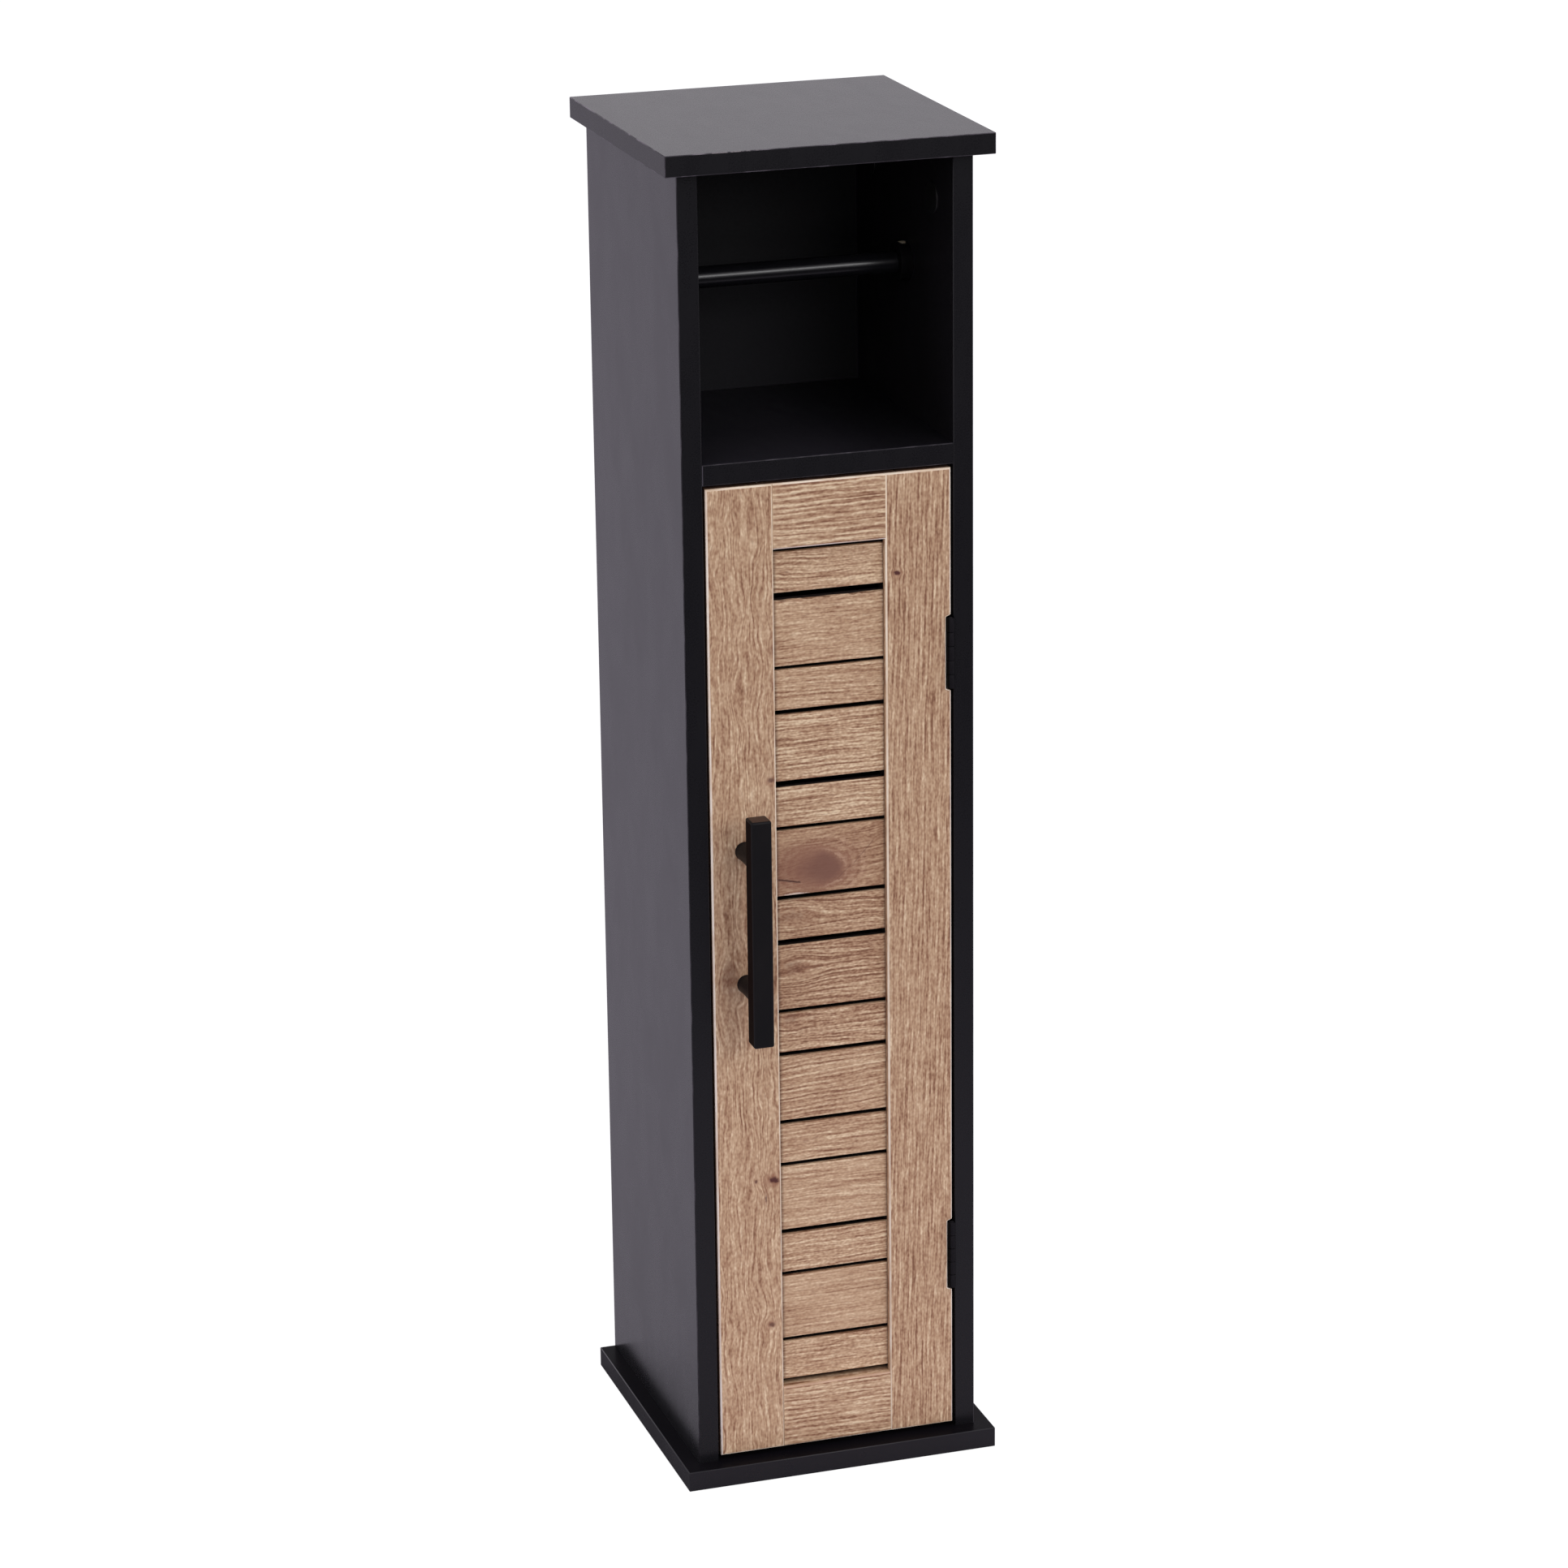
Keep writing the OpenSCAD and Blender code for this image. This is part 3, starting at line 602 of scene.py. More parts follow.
@dataclass(frozen=True)
class OakFoil(Finish):
    """Oak-look foil: long fibres in cream and brown, growth bands, pores and knots.

    Attributes:
        grain: The way that the grain runs.
        shift: How far along the print the piece is cut, in millimetres.
        waviness: How far the grain wanders to its side.
        wave_length: The length of its waves.
        ripple: How far it ripples on a shorter length.
        tilt: How far it leans to its side for each millimetre along.
        band: The width of a growth band.
        band_share: How much the bands show.
        contrast: How far the print's tones lie apart.
        tone: How much lighter than middling the print is.
        knots: The knots in it.
        patches: The ovals of another colour in it.
        cracks: The thin lines in it.
        slot: Where along Y painted shade darkens it into a slot, if it does.
        slot_shade_colour: The colour of that painted shade in the depth of the slot.
        ends: The places along X of the stiles whose shade is painted on its ends, if they do.
    """

    RAMP = (
        (0.0, srgb(132, 92, 67)), (0.25, srgb(165, 127, 97)), (0.5, srgb(190, 156, 123)),
        (0.75, srgb(209, 179, 145)), (1.0, srgb(234, 211, 175)),
    )
    PORE, PALE_RIM, END_SHADE = srgb(132, 96, 80), srgb(214, 180, 150), srgb(74, 50, 42)
    KNOT_HALO, KNOT_CORE = srgb(148, 100, 76), srgb(84, 44, 38)
    LEFT_SHADE, RIGHT_SHADE = (1.9, 0.1), (-1.0, -0.2)

    name: str
    grain: Grain
    shift: float = 0.0
    waviness: float = 2.0
    wave_length: float = 45.0
    ripple: float = 0.25
    tilt: float = 0.0
    band: float = 3.2
    band_share: float = 0.2
    contrast: float = 1.0
    tone: float = 0.0
    knots: tuple[Knot, ...] = ()
    patches: tuple[Patch, ...] = ()
    cracks: tuple[Crack, ...] = ()
    slot: Span | None = None
    slot_shade_colour: Colour = srgb(30, 24, 22)
    ends: Span | None = None

    def write(self, recipe: Recipe) -> None:
        """Writes the print: a wandering grain, its tones, and the marks on it.

        Args:
            recipe: The writer of the material's node tree.
        """
        at = recipe.place()
        upright = self.grain is Grain.UPRIGHT
        along, across = (at.z, at.x) if upright else (at.x, at.z)
        calm, rims, rings, shades = self._patch_masks(recipe, at)
        knots = [self._knot_masks(recipe, knot, at) for knot in self.knots]
        # The lane is the place across the grain, moved aside by knots, waves and ripples.
        lane = across
        for knot, (turned, _, _) in zip(self.knots, knots):
            lane = lane - (across - (knot.x if upright else knot.z)) * turned * 0.75
        flat = recipe.vector(along + self.shift, across, at.y)
        wander = recipe.noise(flat, (self.wave_length, self.wave_length * 0.4, 30.0), 1)
        ripple = recipe.noise(flat, (14.0, 6.0, 6.0), 1)
        lane = (lane + wander * (4 * self.waviness) + ripple * (4 * self.ripple)
                + along * self.tilt)
        point = recipe.vector(along + self.shift, lane, at.y)
        # The print's marks, from the finest specks to the clouds and the growth bands.
        speck = recipe.noise(flat, (1.8, 1.05, 1.2), 0)
        dash = recipe.noise(point, (4.5, 1.0, 1.2), 0)
        fibre = recipe.noise(point, (24.0, 1.2, 1.6), 0)
        streak = recipe.noise(point, (36.0, 2.4, 3.6), 1)
        cloud = recipe.noise(flat, (50.0, 16.0, 16.0), 1)
        line = recipe.noise(point, (40.0, 1.15, 1.6), 0).rise(0.05, 0.24)
        fine = (lane * (2 * math.pi / 2.1) + streak * 13.0).sine()
        bands = (lane * (2 * math.pi / self.band) - streak * 7.0).sine()
        pores = recipe.noise(point, (6.0, 0.7, 0.9), 0).rise(0.12, 0.3)
        figure = (speck * 0.6 + dash * 0.6 + fibre * 0.62 + fine * 0.075 - line * 0.22
                  + bands * (0.03 + self.band_share * 0.7))
        tone = (0.545 + self.tone + cloud * 0.12 + rings
                + figure * (1 - calm * 0.5) * self.contrast)
        colour = recipe.take("ShaderNodeValToRGB", {"stops": self.RAMP}, {"Fac": tone}, "Color")
        colour = recipe.mixed(pores * 0.25, colour, self.PORE)
        if knots:
            _, cores, halos = zip(*knots)
            colour = recipe.mixed(functools.reduce(Quantity.larger, halos) * 0.55, colour,
                                  self.KNOT_HALO)
            colour = recipe.mixed(functools.reduce(Quantity.larger, cores), colour,
                                  self.KNOT_CORE)
        for shade, patch in zip(shades, self.patches):
            colour = recipe.mixed(shade, colour, patch.colour)
        if self.patches:
            colour = recipe.mixed(rims, colour, self.PALE_RIM)
        for crack in self.cracks:
            colour = recipe.mixed(self._crack_mask(recipe, crack, at), colour, crack.colour)
        recipe.coat({
            "Base Color": self._shaded(recipe, at, colour),
            "Roughness": 0.55 + fibre * 0.12 + pores * 0.15,
            "IOR": 1.4,
            "Normal": recipe.bump(fibre + streak * 0.5 - pores * 0.35, 0.04),
        })

    def _shaded(self, recipe: Recipe, at: Place, colour: Quantity) -> Quantity:
        """Paints shade on the print where a slat goes under the stiles and where a slot gets deep.

        Args:
            recipe: The node tree's writer.
            at: The point's place.
            colour: The print's colour.

        Returns:
            The shaded colour.
        """
        # Painted shade at the slat's ends, under the stiles' edges.
        if self.ends is not None:
            left, right = self.ends
            at_left = at.x.rise(*(left + off for off in self.LEFT_SHADE)) * 0.5
            at_right = at.x.rise(*(right + off for off in self.RIGHT_SHADE)) * 0.2
            colour = recipe.mixed(at_left + at_right, colour, self.END_SHADE)
        # Painted shade in the depth of a slot.
        if self.slot is not None:
            colour = recipe.mixed(at.y.rise(*self.slot), colour, self.slot_shade_colour)
        return colour

    def _patch_masks(self, recipe: Recipe,
                     at: Place) -> tuple[Operand, Operand, Operand, list[Quantity]]:
        """Finds where the patches lie and what they do to the print.

        Args:
            recipe: The node tree's writer.
            at: The point's place.

        Returns:
            How much they calm the grain, a mask of their pale rims, the rings' tone, and a
            shade for each patch.
        """
        calm, rims, rings, shades = 0.0, 0.0, 0.0, []
        for patch in self.patches:
            across = (at.x - patch.x) / patch.half_x
            up = (at.z - patch.z) / patch.half_z
            apart = ((across * across + up * up) ** 0.5 + recipe.noise(at.point, 9.0, 2) * 0.4
                     + recipe.noise(at.point, 1.4, 1) * patch.fray)
            crisp = apart.rise(1.18, 0.55)
            soft = apart.rise(1.35, 0.0)
            inside = soft + (crisp - soft) * across.rise(-0.6, 0.4)
            patchy = recipe.noise(at.point, 5.0, 2).rise(-0.12, 0.1)
            rim = apart.rise(0.96, 1.04) * apart.rise(1.16, 1.06) * across.rise(0.0, 0.4)
            ring = (apart * 19.0).sine() * apart.rise(1.0, 1.2) * apart.rise(2.4, 1.4)
            calm = inside * patch.depth + calm
            rims = rim * patchy * patch.rim + rims
            rings = ring * patch.rings + rings
            shades.append(inside * patch.depth)
        return calm, rims, rings, shades

    @staticmethod
    def _crack_mask(recipe: Recipe, crack: Crack, at: Place) -> Quantity:
        """Finds where a crack runs.

        Args:
            recipe: The node tree's writer.
            crack: The crack.
            at: The point's place.

        Returns:
            A mask from 0 to 1.
        """
        wobble = recipe.noise(at.point, 2.5, 2)
        right = at.x - crack.x
        along = right / crack.half_length
        off = ((at.z - crack.z) - right * crack.slope + wobble * 0.8) / crack.half_width
        return (off * off).rise(1.0, 0.2) * (along * along + wobble).rise(1.1, 0.7) * crack.depth

    @staticmethod
    def _knot_masks(recipe: Recipe, knot: Knot,
                    at: Place) -> tuple[Quantity, Quantity, Quantity]:
        """Finds where a knot turns the grain, where it is dark, and where it shades the wood.

        Args:
            recipe: The node tree's writer.
            knot: The knot.
            at: The point's place.

        Returns:
            Three masks from 0 to 1.
        """
        ragged = recipe.noise(at.point, 3.2, 3)
        across = (at.x - knot.x) / knot.half_x
        up = (at.z - knot.z) / knot.half_z
        apart = (across * across + up * up) ** 0.5
        turned = apart.rise(knot.halo * 1.6, 0.0)
        core = (apart + ragged * 1.6).rise(1.1, 1.1 - knot.soft) * knot.depth
        halo = (apart + ragged * 1.2).rise(knot.halo, 0.6) * knot.depth
        return turned, core, halo


@dataclass(frozen=True)
class OakEdge(Finish):
    """The eased edge of the oak foil: a pale line of painted highlight, with worn stretches that
    come and go.
    """

    name: str = "oak_edge"
    pale: Colour = srgb(250, 237, 214)
    worn: Colour = srgb(221, 194, 162)

    def write(self, recipe: Recipe) -> None:
        """Writes the painted highlight's pale line with its worn stretches and specks.

        Args:
            recipe: The writer of the material's node tree.
        """
        at = recipe.place()
        # Painted highlight: the edge is pale, duller in stretches.
        pale_stretches = recipe.noise(at.point, 22.0, 3).rise(-0.22, 0.10)
        specks = recipe.noise(at.point, 2.0, 2)
        recipe.coat({
            "Base Color": recipe.mixed(pale_stretches * 0.85 + specks * 0.4, self.worn, self.pale),
            "Roughness": 0.55 + specks * 0.1,
            "IOR": 1.4,
        })


@dataclass(frozen=True)
class PowderCoat(Finish):
    """Satin black powder coat with a fine orange peel.

    Attributes:
        peel: The size of the orange peel's dimples.
        peel_depth: Their depth.
        pale_spot_at: The middle of a pale spot on the coat, if there is one.
        pale_spot_reach: Half the spot's size along each axis.
        knuckle: A hinge knuckle's axis along X and how far to each side of it light gets in,
            if the piece has one.
    """

    BARE, UNLIT = srgb(196, 186, 160), srgb(3, 3, 4)

    name: str = "black_powder_coat"
    colour: Colour = srgb(16, 16, 18)
    fade: Colour = srgb(22, 20, 21)
    roughness: float = 0.42
    ior: float = 1.22
    peel: float = 0.7
    peel_depth: float = 0.012
    pale_spot_at: Triple | None = None
    pale_spot_reach: Triple = (2.2, 4.4, 1.2)
    knuckle: Span | None = None

    def write(self, recipe: Recipe) -> None:
        """Writes the coat with its orange peel, its pale spot and its unlit sides.

        Args:
            recipe: The writer of the material's node tree.
        """
        at = recipe.place()
        peel = recipe.noise(at.point, self.peel, 3)
        cloud = recipe.noise(at.point, (16.0, 16.0, 24.0), 2)
        colour = recipe.mixed(0.5 + cloud * 1.5, self.colour, self.fade)
        # A pale tan spot, strongest at its middle.
        if self.pale_spot_at is not None:
            x, y, z = ((part - centre) / reach for part, centre, reach
                       in zip((at.x, at.y, at.z), self.pale_spot_at, self.pale_spot_reach))
            apart = (x * x + y * y + z * z) ** 0.5
            colour = recipe.mixed((apart + peel * 0.5).rise(1.1, 0.7), colour, self.BARE)
        if self.knuckle is not None:
            axis, lit_half = self.knuckle
            off = (at.x - axis) / lit_half
            colour = recipe.mixed((off * off).rise(0.8, 1.6), colour, self.UNLIT)
        recipe.coat({
            "Base Color": colour,
            "Roughness": self.roughness + peel * 0.12 + cloud * 0.08,
            "IOR": self.ior,
            "Normal": recipe.bump(peel, self.peel_depth),
        })


@dataclass(frozen=True)
class Plated(Finish):
    """Plated steel, brushed a little, with handling marks."""

    name: str
    colour: Colour
    shade: Colour
    roughness: float = 0.32

    def write(self, recipe: Recipe) -> None:
        """Writes the brushed metal and its marks.

        Args:
            recipe: The writer of the material's node tree.
        """
        at = recipe.place()
        brush = recipe.noise(at.point, (0.35, 2.6, 2.6), 2)
        spots = recipe.noise(at.point, 2.4, 3)
        recipe.coat({
            "Base Color": recipe.mixed(0.45 + spots * 1.4, self.colour, self.shade),
            "Metallic": 1.0,
            "Roughness": self.roughness + brush * 0.2 + spots * 0.15,
            "Normal": recipe.bump(brush, 0.008),
        })


@dataclass(frozen=True)
class Moulded(Finish):
    """Moulded plastic with a spark-eroded texture."""

    name: str = "black_plastic"
    colour: Colour = srgb(15, 15, 16)
    fade: Colour = srgb(21, 20, 21)

    def write(self, recipe: Recipe) -> None:
        """Writes the plastic and its texture.

        Args:
            recipe: The writer of the material's node tree.
        """
        at = recipe.place()
        spark = recipe.noise(at.point, 0.35, 2)
        cloud = recipe.noise(at.point, 8.0, 2)
        recipe.coat({
            "Base Color": recipe.mixed(0.5 + cloud * 1.2, self.colour, self.fade),
            "Roughness": 0.48 + spark * 0.15 + cloud * 0.1,
            "IOR": 1.4,
            "Normal": recipe.bump(spark, 0.012),
        })


@dataclass(frozen=True)
class Beech(Finish):
    """Turned beech with its short ray flecks, for the dowels."""

    name: str = "beech"

    def write(self, recipe: Recipe) -> None:
        """Writes the fibres and the flecks.

        Args:
            recipe: The writer of the material's node tree.
        """
        at = recipe.place()
        fibre = recipe.noise(at.point, (0.6, 0.6, 6.0), 3)
        flecks = recipe.noise(at.point, (0.5, 0.5, 2.2), 1).rise(0.08, 0.2)
        colour = recipe.mixed(0.5 + fibre * 1.8, srgb(201, 166, 122), srgb(225, 196, 154))
        recipe.coat({
            "Base Color": recipe.mixed(flecks * 0.5, colour, srgb(164, 122, 84)),
            "Roughness": 0.6 + fibre * 0.2,
            "Normal": recipe.bump(fibre, 0.05),
        })


@dataclass(frozen=True)
class Ferrite(Finish):
    """Sintered ferrite, dull and grainy."""

    name: str = "ferrite"

    def write(self, recipe: Recipe) -> None:
        """Writes the grainy grey.

        Args:
            recipe: The writer of the material's node tree.
        """
        grain = recipe.noise(recipe.place().point, 0.4, 3)
        recipe.coat({
            "Base Color": recipe.mixed(0.5 + grain * 1.5, srgb(52, 49, 50), srgb(74, 70, 70)),
            "Roughness": 0.7 + grain * 0.2,
            "Normal": recipe.bump(grain, 0.03),
        })


# The melamine's copies carry painted light and shade: TOP is darker and mirrors less, as painted
# shade; NICHE is a little lighter and rougher, as painted light; FOOT is darker and FOOT_SIDE
# hardly mirrors, as painted shade near the floor. ARRIS is the boards' painted highlight.
MELAMINE = BlackBoard()
TOP = BlackBoard("top_melamine", srgb(15, 14, 16), srgb(19, 17, 18), ior=1.225, smear=0.03)
NICHE = BlackBoard("niche_melamine", srgb(20, 19, 21), srgb(26, 24, 27), 0.42, 1.3)
FOOT = BlackBoard("foot_melamine", srgb(15, 14, 19), srgb(19, 17, 22), 0.3, 1.39)
FOOT_SIDE = BlackBoard("foot_side_melamine", srgb(15, 14, 18), srgb(19, 17, 20), 0.3, 1.075)
ARRIS = BoardEdge()
COAT = PowderCoat()
ROD_COAT = PowderCoat("rod_lacquer", srgb(14, 14, 17), srgb(17, 17, 20), 0.21, 1.38,
                      peel=2.4, peel_depth=0.004)
CUP_COAT = PowderCoat("cup_lacquer", srgb(10, 10, 11), srgb(13, 12, 13), 0.5, 1.12)
HINGE_LACQUER = PowderCoat("hinge_lacquer", srgb(20, 19, 22), srgb(28, 26, 29), 0.5, 1.16,
                           peel=0.5)
ZINC = Plated("zinc_plate", srgb(196, 198, 204), srgb(170, 172, 182))
PLASTIC = Moulded()


# ---------------------------------------------------------------- mesh work


class Workpiece:
    """A mesh in the making. Its faces belong to numbered groups, one for each finish."""

    SHARP = math.radians(50)
    FLAT = math.radians(0.5)

    def __init__(self) -> None:
        """Starts an empty mesh."""
        self.bm = bmesh.new()

    @classmethod
    def from_node(cls, node: str) -> "Workpiece":
        """Starts from a merged copy of a frame node, with its flat faces made whole.

        Args:
            node: The node's name.

        Returns:
            The workpiece.
        """
        made = cls()
        bm = made.bm
        bm.from_mesh(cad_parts[node].data)
        bmesh.ops.remove_doubles(bm, verts=bm.verts, dist=SAME_PLACE)
        bmesh.ops.dissolve_limit(bm, angle_limit=cls.FLAT, verts=bm.verts, edges=bm.edges)
        for face in bm.faces:
            face.material_index = 0
            face.smooth = False
        return made

    @classmethod
    def block(cls, low: Vector, high: Vector) -> "Workpiece":
        """Starts from a block between two corners.

        Args:
            low: The lowest corner in metres.
            high: The highest corner in metres.

        Returns:
            The workpiece.
        """
        made = cls()
        place = Matrix.Translation((low + high) / 2) @ Matrix.Diagonal((*(high - low), 1.0))
        bmesh.ops.create_cube(made.bm, size=1.0, matrix=place)
        return made

    @classmethod
    def turned(cls, outline: Sequence[Span], foot: Vector, axis: Vector,
               steps: int = 48) -> "Workpiece":
        """Turns an outline round an axis, as on a lathe.

        Args:
            outline: Pairs of radius and height above the foot in millimetres. A closed ring
                repeats its first pair at the end, and a solid starts and ends at radius 0.
            foot: Where the axis starts, in metres.
            axis: The axis's direction.
            steps: The number of faces round the axis.

        Returns:
            The workpiece, with smooth faces.
        """
        made = cls()
        bm = made.bm
        points = [bm.verts.new((radius * MM, 0.0, height * MM))
                  for radius, height in held(outline)]
        edges = [bm.edges.new(pair) for pair in zip(points, points[1:])]
        bmesh.ops.spin(bm, geom=[*points, *edges], cent=(0, 0, 0), axis=(0, 0, 1), dvec=(0, 0, 0),
                       angle=2 * math.pi, steps=steps, use_merge=True)
        bmesh.ops.remove_doubles(bm, verts=bm.verts, dist=SAME_PLACE)
        bmesh.ops.dissolve_degenerate(bm, dist=SAME_PLACE / 10, edges=bm.edges)
        bmesh.ops.recalc_face_normals(bm, faces=bm.faces)
        made.move(standing_at(foot, axis))
        for face in bm.faces:
            face.smooth = True
        for edge in bm.edges:
            edge.smooth = edge.calc_face_angle(0.0) < cls.SHARP
        return made

    def move(self, place: Matrix) -> None:
        """Moves the whole mesh by a matrix."""
        bmesh.ops.transform(self.bm, matrix=place, verts=self.bm.verts)

    def add(self, other: "Workpiece") -> None:
        """Takes in the faces of another workpiece, which is used up.

        Args:
            other: The other workpiece.
        """
        scratch = bpy.data.meshes.new("scratch")
        other.bm.to_mesh(scratch)
        other.bm.free()
        self.bm.from_mesh(scratch)
        bpy.data.meshes.remove(scratch)

    def outline_edges(self, axes: str = "XYZ",
                      keep: Callable[[Vector], bool] = lambda point: True
                      ) -> list[bmesh.types.BMEdge]:
        """The edges that lie on the edges of the mesh's own box.

        Args:
            axes: The directions that the wanted edges run along.
            keep: A test of an edge's middle.

        Returns:
            The edges.
        """
        low = Vector(min(vert.co[i] for vert in self.bm.verts) for i in range(3))
        high = Vector(max(vert.co[i] for vert in self.bm.verts) for i in range(3))
        found = []
        for edge in self.bm.edges:
            start, end = (vert.co for vert in edge.verts)
            runs = [i for i in range(3) if abs(start[i] - end[i]) > SAME_PLACE]
            if len(runs) != 1 or "XYZ"[runs[0]] not in axes:
                continue
            across = [i for i in range(3) if i != runs[0]]
            on_box = all(min(abs(start[i] - low[i]), abs(start[i] - high[i])) < SAME_PLACE
                         for i in across)
            if on_box and keep((start + end) / 2):
                found.append(edge)
        return found

    def ease(self, edges: Iterable[bmesh.types.BMEdge], width: float, segments: int = 2,
             group: int = 0, clamped: bool = True) -> None:
        """Rounds edges.

        Args:
            edges: The edges.
            width: The width of the rounding in millimetres.
            segments: The number of faces across it.
            group: The face group that the rounding goes into.
            clamped: Whether the width shrinks where short edges meet it.
        """
        made = bmesh.ops.bevel(self.bm, geom=list(edges), offset=width * MM,
                               offset_type="OFFSET", affect="EDGES", segments=segments,
                               profile=0.5, material=-1, clamp_overlap=clamped)
        for face in made["faces"]:
            face.smooth = True
            face.material_index = group

    def group_faces(self, group: int, wanted: Callable[[bmesh.types.BMFace], bool],
                    smooth: bool = True) -> None:
        """Puts the wanted faces into a group.

        Args:
            group: The group's number.
            wanted: The test of a face.
            smooth: Whether the faces are shaded as one curve.
        """
        for face in self.bm.faces:
            if wanted(face):
                face.material_index = group
                face.smooth = smooth

    def finish(self, name: str, finishes: Sequence[Finish], body: Body, slot: str,
               stands_for: Sequence[str]) -> bpy.types.Object:
        """Makes the object, dresses it and puts it on its body.

        Args:
            name: The piece's name.
            finishes: The finish of each face group.
            body: The body that it rides on.
            slot: The record's material slot. It is not used.
            stands_for: The frame nodes that it replaces.

        Returns:
            The object.
        """
        mesh = bpy.data.meshes.new(name)
        self.bm.to_mesh(mesh)
        self.bm.free()
        for finish in finishes:
            mesh.materials.append(material_of(finish))
        made = bpy.data.objects.new(name, mesh)
        bpy.context.scene.collection.objects.link(made)
        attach(made, body.value)
        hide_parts(*stands_for)
        LOG.info("%s: %d faces on %s", name, len(mesh.polygons), body.value)
        return made


def held(outline: Sequence[Span], room: float = 0.2) -> list[Span]:
    """Adds a point near both ends of an outline's long stretches, which keeps the shading true.

    Args:
        outline: Pairs of radius and height in millimetres.
        room: The distance from a stretch's end to the added point, in millimetres.

    Returns:
        The outline with the added points.
    """
    points = [tuple(outline[0])]
    for start, end in zip(outline, outline[1:]):
        length = math.dist(start, end)
        if length > 4 * room:
            for share in (room / length, 1 - room / length):
                points.append(tuple(a + (b - a) * share for a, b in zip(start, end)))
        points.append(tuple(end))
    return points


def standing_at(foot: Vector, axis: Vector) -> Matrix:
    """The matrix that stands a piece made along +Z at a point, along an axis.

    Args:
        foot: Where its origin goes.
        axis: Where its +Z goes.

    Returns:
        The matrix.
    """
    return Matrix.Translation(foot) @ axis.to_track_quat("Z", "Y").to_matrix().to_4x4()


def dress_node(node: str, finish: Finish) -> None:
    """Gives a frame node that keeps its own mesh a finish.

    Args:
        node: The node's name.
        finish: The finish.
    """
    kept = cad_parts[node]
    kept.data.materials.clear()
    kept.data.materials.append(material_of(finish))
    LOG.info("%s: kept, with %s", node, finish.name)


def middle(node: str) -> Vector:
    """The middle of a node's box."""
    low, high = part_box(node)
    return (low + high) / 2


def round_box(node: str, axis: int) -> tuple[float, float, Vector]:
    """Measures a node that is round about an axis.

    Args:
        node: The node's name.
        axis: The axis, 0 for X, 1 for Y or 2 for Z.

    Returns:
        Its radius and its length in millimetres, and the middle of its lower end in metres.
    """
    low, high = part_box(node)
    across = 0 if axis == 2 else 2
    foot = Vector((a + b) / 2 for a, b in zip(low, high))
    foot[axis] = low[axis]
    return (high[across] - low[across]) / 2 / MM, (high[axis] - low[axis]) / MM, foot


def facing(face: bmesh.types.BMFace, *ways: Vector) -> bool:
    """Whether a face is square to one of some directions and looks that way."""
    return any(face.normal.dot(way) > SQUARE for way in ways)


def direction(azimuth: float, elevation: float) -> Vector:
    """The direction from the cabinet to something that stands or hangs round it.

    Args:
        azimuth: Its angle round the cabinet in degrees, 0 in front of the door and 90 at +X.
        elevation: Its angle above the floor.

    Returns:
        The direction, with a length of 1.
    """
    turn, lift = math.radians(azimuth), math.radians(elevation)
    return Vector((math.sin(turn) * math.cos(lift), -math.cos(turn) * math.cos(lift),
                   math.sin(lift)))


def islands(node: str) -> list[tuple[Vector, Vector]]:
    """The boxes of a node's separate solids.

    Args:
        node: The node's name.

    Returns:
        The lowest and highest corner of each, in the order of their middles.
    """
    bm = Workpiece.from_node(node).bm
    left = set(bm.verts)
    found = []
    while left:
        reached = [left.pop()]
        corners = []
        while reached:
            vert = reached.pop()
            corners.append(vert.co.copy())
            for edge in vert.link_edges:
                near = edge.other_vert(vert)
                if near in left:
                    left.remove(near)
                    reached.append(near)
        found.append((Vector(min(c[i] for c in corners) for i in range(3)),
                      Vector(max(c[i] for c in corners) for i in range(3))))
    bm.free()
    return sorted(found, key=lambda box: tuple(round(v, 5) for v in (box[0] + box[1]) / 2))


# ---------------------------------------------------------------- fasteners


